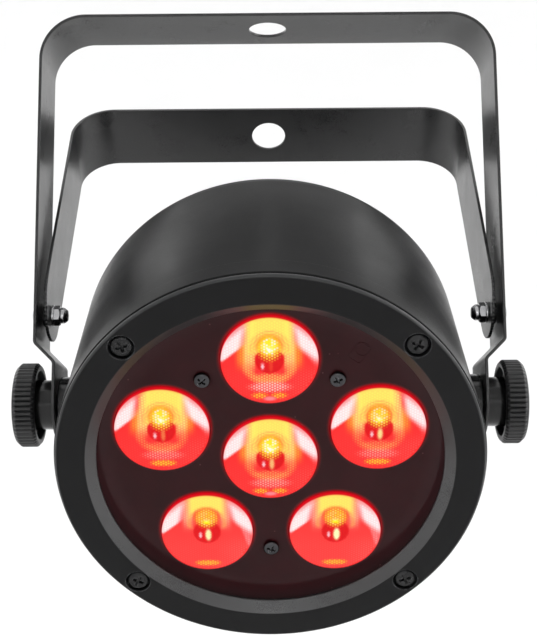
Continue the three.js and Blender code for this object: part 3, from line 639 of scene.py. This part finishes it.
def tilt_clamp(name, side):
    place = sideways(side, TILT.z)
    low, high = span(f"tilt_knob_{name}", place)
    radius, inner, outer = high.y, low.z, high.z
    floor = span(f"knob_collar_{name}", place)[1].z + GAP
    stud_end = span(f"tilt_stud_{name}", place)[1].z + GAP
    profile = fillet([
        (0, outer - 0.7), (11.6, outer - 0.9, 0.5), (12.4, outer, 0.5), (14.7, outer, 0.8),
        (radius, outer - 1.7, 1.0), (radius, inner + 1.2, 0.3), (radius - 1.2, inner, 0.4),
        (13.4, inner, 0.4), (13.4, floor, 0.4), (3.3, floor), (3.3, stud_end), (0, stud_end),
    ])
    piece(f"knob_{name}", ribbed(profile, radius), place, f"knob_{name}", [f"tilt_knob_{name}"],
          PLASTIC, 50)
    low, high = span(f"knob_collar_{name}", place)
    collar = lathe(fillet([(STUD_HOLE, low.z, 0.3), (high.y, low.z, 0.35), (high.y, high.z, 0.35),
                           (STUD_HOLE, high.z, 0.3)]), 96)
    piece(f"knob_hub_{name}", collar, place, f"collar_{name}", [f"knob_collar_{name}"],
          POLISHED)
    low, high = span(f"friction_washer_{name}", place)
    puck = lathe(fillet([(STUD_HOLE, 60), (high.y, 60), (high.y, high.z, 0.5), (STUD_HOLE, high.z, 0.3)]), 96)
    drum = moved(prism(circle(DRUM_RADIUS + GAP, 192), -40, 40), matrix=place.inverted() @ CAN)
    piece(f"friction_disc_{name}", soften(carve(puck, drum), 0.2, 2), place, "can",
          [f"friction_washer_{name}"], POLISHED)


# ---------------- can: shells
ROUND = 256


def at_depths(points):
    """Corners of (radius, depth, fillet) as heights in the can's frame."""
    return [(r, depth(d), *rest) for r, d, *rest in points]


def front_bezel():
    body = lathe(fillet(at_depths([
        (BEZEL_INNER, 0, 0.9), (BEZEL_RADIUS, 0, 1.3), (BEZEL_RADIUS, 1.4, 0.05), (75.4, 1.4), (75.4, 5),
        (66.5, 5), (66.5, 8), (65.8, 8), (65.8, 4.6), (LIP_INNER, 4.6, 0.3), (LIP_INNER, 3.5, 0.4),
    ])), ROUND)
    for i in range(1, 5):
        seat = middle(f"bezel_screw_{i}")
        recess = lathe(fillet(at_depths([
            (0, 2.5), (4.5, 2.5, 0.3), (4.5, 0.25), (4.9, -0.3), (4.9, -1), (0, -1),
        ])), 64)
        hole = prism(circle(2.4, 32), depth(6), depth(2))
        for tool in (recess, hole):
            body = carve(body, moved(tool, seat.x, seat.y))
    places = [vertex.co.copy() for vertex in body.verts]
    ring = can_piece("front_ring", body, ["front_bezel"], CAST_BLACK, 30)
    # Satin value: glossier and painted paler on the chamfer, more so towards the bottom of the ring, and on the
    # outer rim edge, a painted highlight where light falls.
    satin_and_painted_highlight = ring.data.attributes.new("satin_and_painted_highlight", "FLOAT", "POINT")
    for value, co in zip(satin_and_painted_highlight.data, places):
        reach, back = co.xy.length, FRONT - co.z
        chamfer = back < 3.9 and LIP_INNER - 0.1 < reach < BEZEL_INNER
        rim = back < 1.3 and reach > BEZEL_RADIUS - 0.8
        value.value = 0.3 + 0.7 * smooth(-co.y, -45, 10) if chamfer else 0.5 * rim


def collar_band():
    wall = COLLAR_RADIUS - COLLAR_WALL
    band = lathe(fillet(at_depths([
        (COLLAR_RADIUS, 1.8, 0.5), (COLLAR_RADIUS, 11, 0.4), (wall, 11, 0.2), (wall, 7.7), (66.8, 7.7),
        (66.8, 5.3), (wall, 5.3), (wall, 1.8, 0.2),
    ])), ROUND)
    holes = []
    for i in range(1, 5):
        seat = middle(f"bezel_screw_{i}")
        holes.append(prism(circle(2.4, 32, seat.x, seat.y), depth(9), depth(4)))
    can_piece("collar_band", carve(band, joined(*holes)), ["collar_ring"], CAN_PAINT, 30)


def can_shell():
    centre = DRUM_RADIUS - DRUM_SHOULDER
    bend = REAR_END + DRUM_SHOULDER
    inner = DRUM_SHOULDER - DRUM_WALL
    front = depth(11) - 0.04
    outline = [
        (DRUM_RADIUS, front, 0.35), (DRUM_RADIUS - DRUM_WALL, front),
        *arc(centre, bend, inner, 0, -90, 16),
        (REAR_OPENING, REAR_END + DRUM_WALL, 0.3), (REAR_OPENING, REAR_END, 0.4),
        *arc(centre, bend, DRUM_SHOULDER, -90, 0, 24),
    ]
    holes = moved(prism(circle(STUD_HOLE, 32), -90, 90), matrix=Matrix.Rotation(math.pi / 2, 4, "Y"))
    shell = carve(lathe(fillet(outline), ROUND), holes)
    can_piece("can_shell", shell, ["can_housing"], CAN_PAINT, 30)


# ---------------- can: lens panel and lenses
PANEL_HOLE = 1.8
MARK_ANGLE = 54  # the small moulded key beside the upper right panel screw


def ridge(outline, width, low, high):
    """A thin raised line round a closed outline, grown evenly outward from it."""
    count = len(outline)
    outer = []
    for k in range(count):
        here = Vector(outline[k])
        along = (Vector(outline[(k + 1) % count]) - Vector(outline[k - 1])).normalized()
        outer.append(here + Vector((along.y, -along.x)) * width)
    return carve(prism([tuple(p) for p in outer], low, high), prism(outline, low - 1, high + 1))


def moulded_key():
    """A rounded tab with a round mark at its outer end, raised a little from the panel."""
    low, high = PANEL_FACE - 0.1, PANEL_FACE + 0.16
    tab = ridge(rounded_box(6.9, 5.0, 0.9, 53.2, 0), 0.3, low, high)
    mark = ridge(circle(2.35, 48, 54.9, 0), 0.32, low, high + 0.02)
    spin = Matrix.Rotation(math.radians(MARK_ANGLE), 4, "Z")
    return moved(joined(soften(tab, 0.07, 2), soften(mark, 0.07, 2)), matrix=spin)


def lens_panel():
    disc = prism(circle(75.2, ROUND), PANEL_BACK, PANEL_FACE)
    holes = []
    for name in LENSES:
        at = middle(name)
        holes.append(prism(circle(LENS_RADIUS + GAP, 96, at.x, at.y), PANEL_BACK - 1, PANEL_FACE + 1))
    for i in range(1, 4):
        at = middle(f"panel_screw_{i}")
        holes.append(prism(circle(PANEL_HOLE, 24, at.x, at.y), PANEL_BACK - 1, PANEL_FACE + 1))
    panel = soften(carve(disc, joined(*holes)), 0.28, 3, 60)
    can_piece("lens_fascia", joined(panel, moulded_key()), ["lens_panel"], PANEL_GLOSS)


FACET = 1.05  # pitch of the hexagonal facets on a lens
FACET_HEIGHT = 0.09
LENS_FACE = 16.4
LENS_SIDES = 96
RED, HOT_RED, CAVITY = (255, 42, 42), (255, 104, 98), (228, 10, 18)
YELLOW, LEMON, AMBER, ORANGE = (255, 242, 104), (255, 240, 0), (255, 160, 48), (250, 104, 40)
PINK, WHITE, PALE = (250, 158, 160), (255, 255, 255), (255, 232, 220)
# A lens's crown half width, lean, foot of its side bands, dot lattice, streak, gap under its crown, glow.
LOOKS = {
    "lens_centre": (0.34, 0.0, -0.30, 0.7, 0.6, 0.4, 1.0), "lens_1": (0.36, 0.0, -0.40, 1.0, 0.2, 0.0, 1.0),
    "lens_2": (0.32, -0.10, -0.30, 0.6, 0.7, 0.6, 0.7), "lens_5": (0.32, 0.10, -0.30, 0.6, 0.4, 0.5, 0.9),
    "lens_3": (0.30, 0.0, 0.0, 0.0, 1.0, 0.9, 0.3), "lens_4": (0.30, 0.0, 0.0, 0.0, 0.9, 0.9, 0.3),
}


def smooth(x, low, high):
    t = min(max((x - low) / (high - low), 0.0), 1.0)
    return t * t * (3 - 2 * t)


def mix(a, b, t):
    return tuple(p + (q - p) * t for p, q in zip(a, b))


def linear(color):
    scaled = [channel / 255 for channel in color]
    return [c / 12.92 if c < 0.04045 else ((c + 0.055) / 1.055) ** 2.4 for c in scaled] + [1.0]


def blob(u, v, x, y, wide, high, soft=0.5):
    """1 inside an ellipse about (x, y), fading out round its edge."""
    return 1 - smooth(math.hypot((u - x) / wide, (v - y) / high), 1 - soft, 1 + soft)


def crown_light(color, u, v, spot, look):
    """The yellow light over the top of a lens, its side bands and the fringes round the emitter's image."""
    crown, lean, foot, lattice, _, well, _ = look
    away, hatch = abs(u - lean * v), 0.6 + 0.4 * spot
    warm = min(2 * lattice, 1.0)
    outer = smooth(away, 0.46, 0.54) * (1 - smooth(away, 0.60, 0.78)) * (1 - smooth(v, 0.4, 0.7)) * warm
    color = mix(color, AMBER, outer * smooth(v, foot + 0.1, foot + 0.5) * hatch)
    inner = smooth(away, 0.26, 0.36) * (1 - smooth(away, 0.48, 0.60)) * (0.85 + 0.15 * warm)
    pale = mix((255, 204, 160), (255, 240, 136), warm)
    color = mix(color, pale, inner * smooth(v, foot, foot + 0.5) * hatch)
    ring = math.hypot(u / 0.5, (v + 0.06) / 0.42)
    dots = smooth(ring, 0.7, 0.9) * (1 - smooth(ring, 1.0, 1.3)) * (1 - smooth(v, -0.2, 0.1)) * lattice
    color = mix(color, (255, 190, 96), dots * (0.2 + 0.8 * spot))
    color = mix(color, (255, 206, 110), lattice * blob(u, v, 0, -0.38, 0.34, 0.12) * (0.2 + 0.8 * spot))
    fringe = math.hypot(u / 0.36, (v - 0.34) / 0.36)
    top = (1 - smooth(away, crown, crown + 0.20)) * smooth(v, 0.12, 0.28) * smooth(fringe, well, well + 0.3)
    color = mix(color, YELLOW, top * (0.92 + 0.08 * spot))
    lines = smooth(fringe, 0.66, 0.76) * (1 - smooth(fringe, 1.1, 1.3)) * smooth(v, 0.1, 0.3)
    return mix(color, (255, 112, 70), 0.45 * lines * (0.5 + 0.5 * math.cos(40 * fringe)))


def flank_light(color, u, v, spot, low):
    """The painted white reflections at both sides, sharp below on the left and drawn down the rim on the right."""
    for way, edge, drop in ((-1, 0.04, 0.0), (1, 0.12, 0.12 + 0.4 * low)):
        out = way * u
        over = v - 0.88 + 0.857 * out
        fall = smooth(over + drop * smooth(out, 0.72, 1.0), -edge, edge)
        color = mix(color, PINK, smooth(out, 0.42, 0.62) * fall * (0.45 + 0.4 * spot))
        white = (1 - smooth(over, 0.30, 0.60)) * smooth(out + 0.3 * over, 0.52, 0.74)
        color = mix(color, WHITE, white * smooth(over, -edge, edge) * (0.8 + 0.2 * spot))
    return color


def emitter_light(color, u, v, spot, look):
    """The dark cavity behind a lens, with the emitter's bright image over its upper half."""
    _, _, _, lattice, streak, _, cluster = look
    v -= 0.05 if lattice else 0.13
    color = mix(color, CAVITY, blob(u, v, 0, 0 if lattice else -0.05, 0.31, 0.31, 0.06))
    color = mix(color, ORANGE, 0.8 * blob(u, v, 0, 0.36, 0.27, 0.24, 0.3))
    color = mix(color, LEMON, cluster * blob(u, v, -0.01, 0.34, 0.20, 0.22, 0.5))
    color = mix(color, (255, 236, 70), spot * blob(u, v, 0, 0.36 - 0.12 * cluster, 0.25, 0.26, 0.3))
    color = mix(color, LEMON, blob(u, v, 0, 0.22, 0.09, 0.05))
    glitter = math.sin(91.7 * u + 157.3 * v) * 437.5 % 1
    sparkle = smooth(glitter, 0.35, 0.6) * spot * cluster * blob(u, v, 0, 0.33, 0.18, 0.22, 0.2)
    color = mix(color, WHITE, sparkle)
    color = mix(color, WHITE, cluster * blob(u, v, -0.01, 0.26, 0.05, 0.04))
    # A painted pink glint, low on the left of the cavity.
    color = mix(color, (255, 196, 204), blob(u, v, -0.15, -0.14, 0.03, 0.08))
    glare = streak * blob(u, v, 0.03, -0.13, 0.03 + 0.035 * streak, 0.15)
    return mix(color, mix(AMBER, (255, 255, 190), streak), min(glare * 1.4, 1.0))


def lens_light(u, v, spot, look):
    """The light from a point of the lens, u across and v up in radii; spot is 1 on a facet and 0 between."""
    lattice = look[3]
    low = 0.0 if lattice else 1.0
    rosy = 0.25 * low + 0.3 * spot * smooth(-v, -0.2, 0.4)
    rosy += 0.4 * smooth(u, 0.1, 0.8) * smooth(-v, -0.1, 0.5) * spot
    color = mix(RED, HOT_RED, rosy)
    color = crown_light(color, u, v, spot, look)
    color = flank_light(color, u, v, spot, low)
    color = emitter_light(color, u, v, spot, look)
    color = mix(color, PALE, lattice * spot * blob(u, v, 0, -0.60, 0.42, 0.13, 0.4))
    for x in (-0.22, 0.20) if lattice > 0.6 else (-0.12, 0.0, 0.12):
        color = mix(color, (255, 226, 50), blob(u, v, x, -0.82, 0.16, 0.07) * (0.15 + 0.85 * spot))
    notch = blob(u, v, 0, -0.90, 0.13, 0.05) if lattice > 0.6 else 0.0
    return mix(color, (255, 150, 160), 0.85 * notch)


def facet_points():
    """Points of the lens face: each hexagonal facet's centre and corners, then the rim."""
    points = {}
    columns, rows = range(-19, 20), range(-17, 18)
    for i in columns:
        for j in rows:
            x, y = i * FACET * math.sqrt(3) / 2, (j + (i % 2) / 2) * FACET
            points.setdefault((round(x, 3), round(y, 3)), 1)
            for cx, cy in circle(FACET / math.sqrt(3), 6, x, y):
                points.setdefault((round(cx, 3), round(cy, 3)), 0)
    inside = {p: spot for p, spot in points.items() if math.hypot(*p) < LENS_FACE - 0.2}
    rim = {p: 0 for p in circle(LENS_FACE, LENS_SIDES)}
    return {**inside, **rim}


def lens_solid():
    """A lens about its own axis, and for each vertex whether it is a facet's centre."""
    points = facet_points()
    flat = [Vector(p) for p in points]
    corners, _, faces, origin, _, _ = delaunay_2d_cdt(flat, [], [], 0, 1e-6)
    spots = [list(points.values())[source[0]] for source in origin]
    bm = bmesh.new()
    layer = bm.verts.layers.float.new("spot")
    for corner, spot in zip(corners, spots):
        dome = 5.8 + 0.6 * (corner.length / LENS_FACE) ** 2
        vertex = bm.verts.new((corner.x, corner.y, depth(dome) + (FACET_HEIGHT if spot else 0)))
        vertex[layer] = spot
    bm.verts.ensure_lookup_table()
    for face in faces:
        bm.faces.new([bm.verts[k] for k in face])
    rim = [v for v in bm.verts if v.co.xy.length > LENS_FACE - 0.05]
    rim.sort(key=lambda v: math.atan2(v.co.y, v.co.x))
    ring = rim
    for r, d in ((16.7, 6.5), (16.95, 6.68), (17.07, 6.95), (LENS_RADIUS, 7.3), (LENS_RADIUS, 8.2),
                 (LENS_RADIUS, 10.2), (7, 24), (4.6, 24), (4.6, 17), (0.6, 16)):
        following = []
        for k in range(LENS_SIDES):
            angle = math.atan2(rim[k].co.y, rim[k].co.x)
            following.append(bm.verts.new((r * math.cos(angle), r * math.sin(angle), depth(d))))
        for k in range(LENS_SIDES):
            j = (k + 1) % LENS_SIDES
            bm.faces.new((ring[k], ring[j], following[j], following[k]))
        ring = following
    bm.faces.new(ring)
    return bm


def lenses():
    pattern = lens_solid()
    for name in LENSES:
        at = middle(name)
        bm = pattern.copy()
        spots = [vertex[bm.verts.layers.float["spot"]] for vertex in bm.verts]
        places = [vertex.co.copy() for vertex in bm.verts]
        moved(bm, at.x, at.y)
        thing = can_piece(name.replace("lens", "optic"), bm, [name], LENS, 60)
        light = thing.data.color_attributes.new("light", "FLOAT_COLOR", "POINT")
        for k, (co, spot) in enumerate(zip(places, spots)):
            u, v = co.x / LENS_FACE, co.y / LENS_FACE
            inside = min(1.0, 1 / max(math.hypot(u, v), 1e-6))
            color = lens_light(u * inside, v * inside, spot, LOOKS[name])
            if co.xy.length > LENS_FACE + 0.1 or co.z < depth(7):
                wall = mix((120, 8, 14), (216, 14, 28), smooth(v, -0.6, 0.4))
                share = smooth(co.z, depth(7.2), depth(6.5)) * (0.6 + 0.4 * smooth(v, -1, -0.6))
                color = mix(wall, color, share)
            if co.z < depth(10):
                color = (0, 0, 0)  # the barrel inside the can gives no light
            light.data[k].color = linear(color)
    pattern.free()


# ---------------- screws
def cross(reach, width, low, high):
    """A cross recess that narrows as it goes down."""
    a, b = reach, width / 2
    arm = [(a, b), (b, b), (b, a), (-b, a), (-b, b), (-a, b)]
    return prism(arm + [(-x, -y) for x, y in arm], low, high, 0.62)


def pan_screw(name, node_name, radius, height, shank, slot, material, turn=0.0, flip=False):
    low, high = span(node_name)
    outline = [(0, -4), (shank, -4, 0.4), (shank, 0), (radius, 0, 0.12),
               (radius, height, height * 0.7), (0, height)]
    screw = lathe(fillet(outline), 64)
    recess = cross(radius * 0.58, radius * 0.32, height * 0.3, height + 0.1)
    screw = soften(carve(screw, recess), 0.05, 2, 35)
    seat = low.z + height if flip else high.z - height
    spin = Matrix.Rotation(turn, 4, "Z") @ (Matrix.Rotation(math.pi, 4, "X") if flip else Matrix.Identity(4))
    at = middle(node_name)
    matrix = Matrix.Translation((at.x, at.y, seat)) @ spin
    can_piece(name, moved(screw, matrix=matrix), [node_name], material, 30)


def screws():
    black = ("black_screw", OXIDE)
    for i in range(1, 5):
        pan_screw(f"ring_screw_{i}", f"bezel_screw_{i}", 4, 1.9, 2, *black, turn=0.3 + 0.8 * i)
        pan_screw(f"back_screw_{i}", f"rear_screw_{i}", 3, 1.6, 1.5, *black, turn=0.2 + 0.5 * i, flip=True)
    for i in range(1, 4):
        pan_screw(f"fascia_screw_{i}", f"panel_screw_{i}", 3, 1.6, 1.5, "dark_nickel", BLUED, turn=0.4 * i)


# ---------------- can: rear
PANEL_CUT = (90, 110)  # depths between which holes in the rear panel are cut
SOCKET_FACE = 103  # and from which a socket's cavity is
PIN_REACH = 97  # how far back the pins in the two inlets stand


def across(outline, near, far):
    """An outline across the can, pushed from one depth to another."""
    return prism(outline, depth(far), depth(near))


def rear_panel():
    disc = across(circle(61.5, ROUND), 96.9, 98.6)
    outlines = []
    for name, radius in (("dmx_input", 10.8), ("dmx_output", 10.8), ("fuse_holder", 6.3)):
        outlines.append(circle(radius, 48, *middle(name).xy))
    for name in ("power_inlet", "power_outlet"):
        outlines.append(rounded_box(27.6, 20.6, 3, *middle(name).xy))
    outlines.append(rounded_box(44.6, 13.6, 1.8, *middle("display_window").xy))
    outlines.append(rounded_box(3.1, 12.6, 0.5, *middle("safety_eye").xy))
    outlines += [circle(3.6, 32, *middle(f"menu_button_{i}").xy) for i in range(1, 5)]
    outlines += [circle(PANEL_HOLE, 24, *middle(f"rear_screw_{i}").xy) for i in range(1, 5)]
    for outline in outlines:
        disc = carve(disc, across(outline, *PANEL_CUT))
    can_piece("back_plate", soften(disc, 0.3, 3, 60), ["rear_panel"], CAN_PAINT, 30)


def flanged(flange, body, bottom):
    """A socket's flange behind the panel, rounded, joined to its body inside."""
    plate = soften(across(flange, 98.9, 101.4), 0.6, 4, 60)
    return carve(plate, across(body, bottom, 99.6), "UNION")


def mains_shell(x, y):
    return flanged(rounded_box(30, 23, 3, x, y), rounded_box(27, 20, 2.7, x, y), 80)


def power_sockets():
    x, y = middle("power_inlet").xy
    shell = carve(mains_shell(x, y), across(keyed_outline(x, y, 0), 87.4, SOCKET_FACE))
    shell = soften(shell, 0.25, 2, 60)
    can_piece("mains_inlet", shell, ["power_inlet"], PLASTIC, 30)
    blades = [across(rounded_box(2, 4, 0.3, x + dx, y + dy), 87, PIN_REACH)
              for dx, dy in ((-7, -2), (0, 2), (7, -2))]
    can_piece("mains_inlet_blades", soften(joined(*blades), 0.4, 2, 60), [], ZINC, 30)
    x, y = middle("power_outlet").xy
    shell = mains_shell(x, y)
    groove = carve(across(keyed_outline(x, y, 0), 100.4, SOCKET_FACE),
                   across(keyed_outline(x, y, 0.8), 99, 104))
    slots = [across(rounded_box(2.4, 5, 0.6, x + dx, y + dy), 90, SOCKET_FACE)
             for dx, dy in ((-7, 0), (0, 4), (7, 0))]
    for tool in (groove, *slots):
        shell = carve(shell, tool)
    can_piece("mains_outlet", soften(shell, 0.15, 2, 60), ["power_outlet"], PLASTIC, 30)


def keyed_outline(x, y, inset):
    """The six-sided outline of a mains plug, smaller all round by an inset."""
    w, h, c = 12 - inset, 8.3 - inset, 4.3 - inset * 0.6
    corners = [(w, h, 1.5), (-w, h, 1.5), (-w, -c, 1), (-w + 4, -h, 1), (w - 4, -h, 1), (w, -c, 1)]
    return fillet([(x + a, y + b, r) for a, b, r in corners])


def dmx_sockets():
    for name, new in (("dmx_input", "signal_inlet"), ("dmx_output", "signal_outlet")):
        x, y = middle(name).xy
        shell = flanged(circle(12.2, 72, x, y), circle(10.4, 72, x, y), 82)
        contacts = [(x + 4.9 * math.cos(a), y + 4.9 * math.sin(a)) for a in map(math.radians, (-90, 30, 150))]
        if new == "signal_inlet":
            shell = carve(shell, across(circle(9.2, 72, x, y), 87.4, SOCKET_FACE))
            pins = [soften(across(circle(1.2, 24, *at), 87, PIN_REACH), 0.5, 3, 60) for at in contacts]
            can_piece("signal_inlet_pins", joined(*pins), [], ZINC, 30)
        else:
            moat = carve(across(circle(9.4, 72, x, y), 100.2, SOCKET_FACE),
                         across(circle(8.6, 72, x, y), 99, 104))
            for tool in (moat, *(across(circle(1.7, 24, *at), 90, SOCKET_FACE) for at in contacts)):
                shell = carve(shell, tool)
        can_piece(new, soften(shell, 0.15, 2, 60), [name], PLASTIC, 30)


FLUTES = 30


def fuse_cap():
    x, y = middle("fuse_cap").xy
    cap = lathe(fillet(at_depths([
        (0, 101.6), (7, 101.6, 0.7), (7, 98.9, 0.2), (2.9, 98.9), (2.9, 78, 0.4), (0, 78),
    ])), FLUTES * 8)
    for vertex in cap.verts:
        reach = vertex.co.xy.length
        if reach > 6.4:
            turn = math.atan2(vertex.co.y, vertex.co.x) * FLUTES
            vertex.co.xy *= 1 - 0.3 * max(0.0, math.cos(turn)) / reach
    slot = across(rounded_box(10, 1.4, 0.3), 100.7, 103)
    cap = moved(carve(cap, slot), x, y)
    piece("fuse_carrier_cap", cap, CAN, "fuse_cap", ["fuse_cap"], PLASTIC, 30)


def menu_buttons():
    for i in range(1, 5):
        x, y = middle(f"menu_button_{i}").xy
        button = lathe(fillet(at_depths([
            (0, 99.9), (1.6, 100.05, 2.0), (2.5, 100.3, 0.25), (3.2, 100.1, 0.35), (3.2, 96), (4.4, 96),
            (4.4, 95, 0.2), (0, 95),
        ])), 64)
        piece(f"menu_key_{i}", moved(button, x, y), CAN, f"button_{i}", [f"menu_button_{i}"],
              PLASTIC, 30)


def display_window():
    x, y = middle("display_window").xy
    pane = soften(across(rounded_box(44, 13, 1.3, x, y), 96.4, 99.2), 0.5, 3, 60)
    can_piece("display_pane", pane, ["display_window"], WINDOW, 30)


def safety_eye():
    y = middle("safety_eye").y
    back, face = 105, 98.9
    outline = [(y - 6, depth(93)), (y + 6, depth(93)), (y + 6, depth(face)), (y + 8, depth(face), 0.3)]
    outline += arc(y, depth(back), 8, 0, -180, 32) + [(y - 8, depth(face), 0.3), (y - 6, depth(face))]
    plate = prism(fillet(outline), -1.25, 1.25)
    eye = prism(circle(5, 48, y, depth(back)), -3, 3)
    upright = rigid((0, 0, 0), (0, 1, 0), (0, 0, 1), (1, 0, 0))
    plate = moved(soften(carve(plate, eye), 0.35, 3, 60), matrix=upright)
    can_piece("safety_cable_eye", plate, ["safety_eye"], POWDER, 30)


# ---------------- nodes kept as the CAD made them
KEPT = {
    "lens_carrier": (PLASTIC, "panel_black"), "fuse_holder": (PLASTIC, "black_plastic"),
    "led_board": (BOARD_WHITE, "led_white"), "heat_sink": (ALUMINIUM, "heat_sink_metal"),
    "driver_board": (BOARD, "circuit_board"), "control_board": (BOARD, "circuit_board"),
    "driver_transformer": (PLASTIC, "black_plastic"),
    "tilt_stud_left": (ZINC, "bright_screw"), "tilt_stud_right": (ZINC, "bright_screw"),
    "tilt_insert_left": (ZINC, "bright_screw"), "tilt_insert_right": (ZINC, "bright_screw"),
}


def inside_parts():
    for name, (material, slot) in KEPT.items():
        kept = frame["nodes"][name]
        kept.data.materials.clear()
        kept.data.materials.append(material)


# ---------------- studio
FLOOR = -0.45
COVE_START = 1.15
COVE_RADIUS = 0.6
WALL_TOP = 2.6


def backdrop():
    """A round white cyclorama: a flat floor that curves up into a wall on every side."""
    profile = [(0.0, FLOOR), (0.3, FLOOR), (COVE_START, FLOOR)]
    profile += [(x, z) for x, z in arc(COVE_START, FLOOR + COVE_RADIUS, COVE_RADIUS, -90, 0, 24)][1:]
    profile.append((COVE_START + COVE_RADIUS, WALL_TOP))
    bm = bmesh.new()
    sides = 128
    rings = [[bm.verts.new((r * math.cos(2 * math.pi * k / sides), r * math.sin(2 * math.pi * k / sides), z))
              for k in range(sides if r else 1)] for r, z in profile]
    for low, high in zip(rings, rings[1:]):
        for k in range(sides):
            ring = [low[k % len(low)], low[(k + 1) % len(low)], high[(k + 1) % sides], high[k]]
            bm.faces.new(list(dict.fromkeys(ring)))
    mesh = bpy.data.meshes.new("backdrop")
    bm.to_mesh(mesh)
    bm.free()
    mesh.shade_smooth()
    thing = bpy.data.objects.new("backdrop", mesh)
    bpy.context.scene.collection.objects.link(thing)
    paper = bpy.data.materials.new("studio_paper")
    paper.use_nodes = True
    shader = paper.node_tree.nodes["Principled BSDF"]
    shader.inputs["Base Color"].default_value = (0.9, 0.9, 0.9, 1)
    shader.inputs["Roughness"].default_value = 0.9
    shader.inputs["Specular IOR Level"].default_value = 0.1
    mesh.materials.append(paper)


# Each light's place, width, height and power.
LIGHTS = {
    "top_light": ((0, -0.15, 1.5), 1.2, 1.2, 4),
    "left_light": ((-1.1, -0.35, 0.35), 0.5, 0.9, 1.5),
    "right_light": ((1.1, -0.25, 0.35), 0.5, 0.9, 7),
    "front_light": ((0, -1.2, -0.25), 0.5, 0.25, 1.5),
    "back_left_light": ((-0.8, 0.9, 0.5), 0.6, 0.9, 3),
    "back_right_light": ((0.8, 0.9, 0.5), 0.6, 0.9, 3),
}
LIT = (0, 0, -0.12)  # the point that every light faces


def area_light(name, at, width, height, power):
    light = bpy.data.lights.new(name, "AREA")
    light.shape = "RECTANGLE"
    light.size, light.size_y = width, height
    light.energy = power
    thing = bpy.data.objects.new(name, light)
    thing.location = at
    thing.rotation_euler = (Vector(LIT) - Vector(at)).to_track_quat("-Z", "Y").to_euler()
    bpy.context.scene.collection.objects.link(thing)


def lights():
    world = bpy.data.worlds.new("studio")
    world.use_nodes = True
    world.node_tree.nodes["Background"].inputs["Color"].default_value = (1, 1, 1, 1)
    world.node_tree.nodes["Background"].inputs["Strength"].default_value = 1.1
    bpy.context.scene.world = world
    for name, values in LIGHTS.items():
        area_light(name, *values)


# ---------------- camera
CAMERA_AT = (1.087, -476.86, -195.52)
CAMERA_RIGHT = (0.99997, 0.00354, -0.00734)
CAMERA_BACK = (0.00238, -0.98825, -0.15283)
CAMERA_LENS = 68.557
CAMERA_SENSOR = 36


def camera():
    data = bpy.data.cameras.new("camera")
    data.lens, data.sensor_width, data.sensor_fit = CAMERA_LENS, CAMERA_SENSOR, "AUTO"
    data.clip_start, data.clip_end = 0.01, 20
    thing = bpy.data.objects.new("camera", data)
    back = Vector(CAMERA_BACK).normalized()
    right = Vector(CAMERA_RIGHT)
    right = (right - back * right.dot(back)).normalized()
    thing.matrix_world = rigid(Vector(CAMERA_AT) * MM, right, back.cross(right), back)
    bpy.context.scene.collection.objects.link(thing)
    bpy.context.scene.camera = thing


# ---------------- the whole lamp
def build():
    main_yoke()
    stand_yoke()
    for name, side in SIDES.items():
        stand_pivot(name, side)
        tilt_clamp(name, side)
    front_bezel()
    collar_band()
    can_shell()
    lens_panel()
    lenses()
    screws()
    rear_panel()
    power_sockets()
    dmx_sockets()
    fuse_cap()
    menu_buttons()
    display_window()
    safety_eye()
    inside_parts()


build()
backdrop()
lights()
camera()
bpy.context.scene.view_settings.view_transform = "Standard"
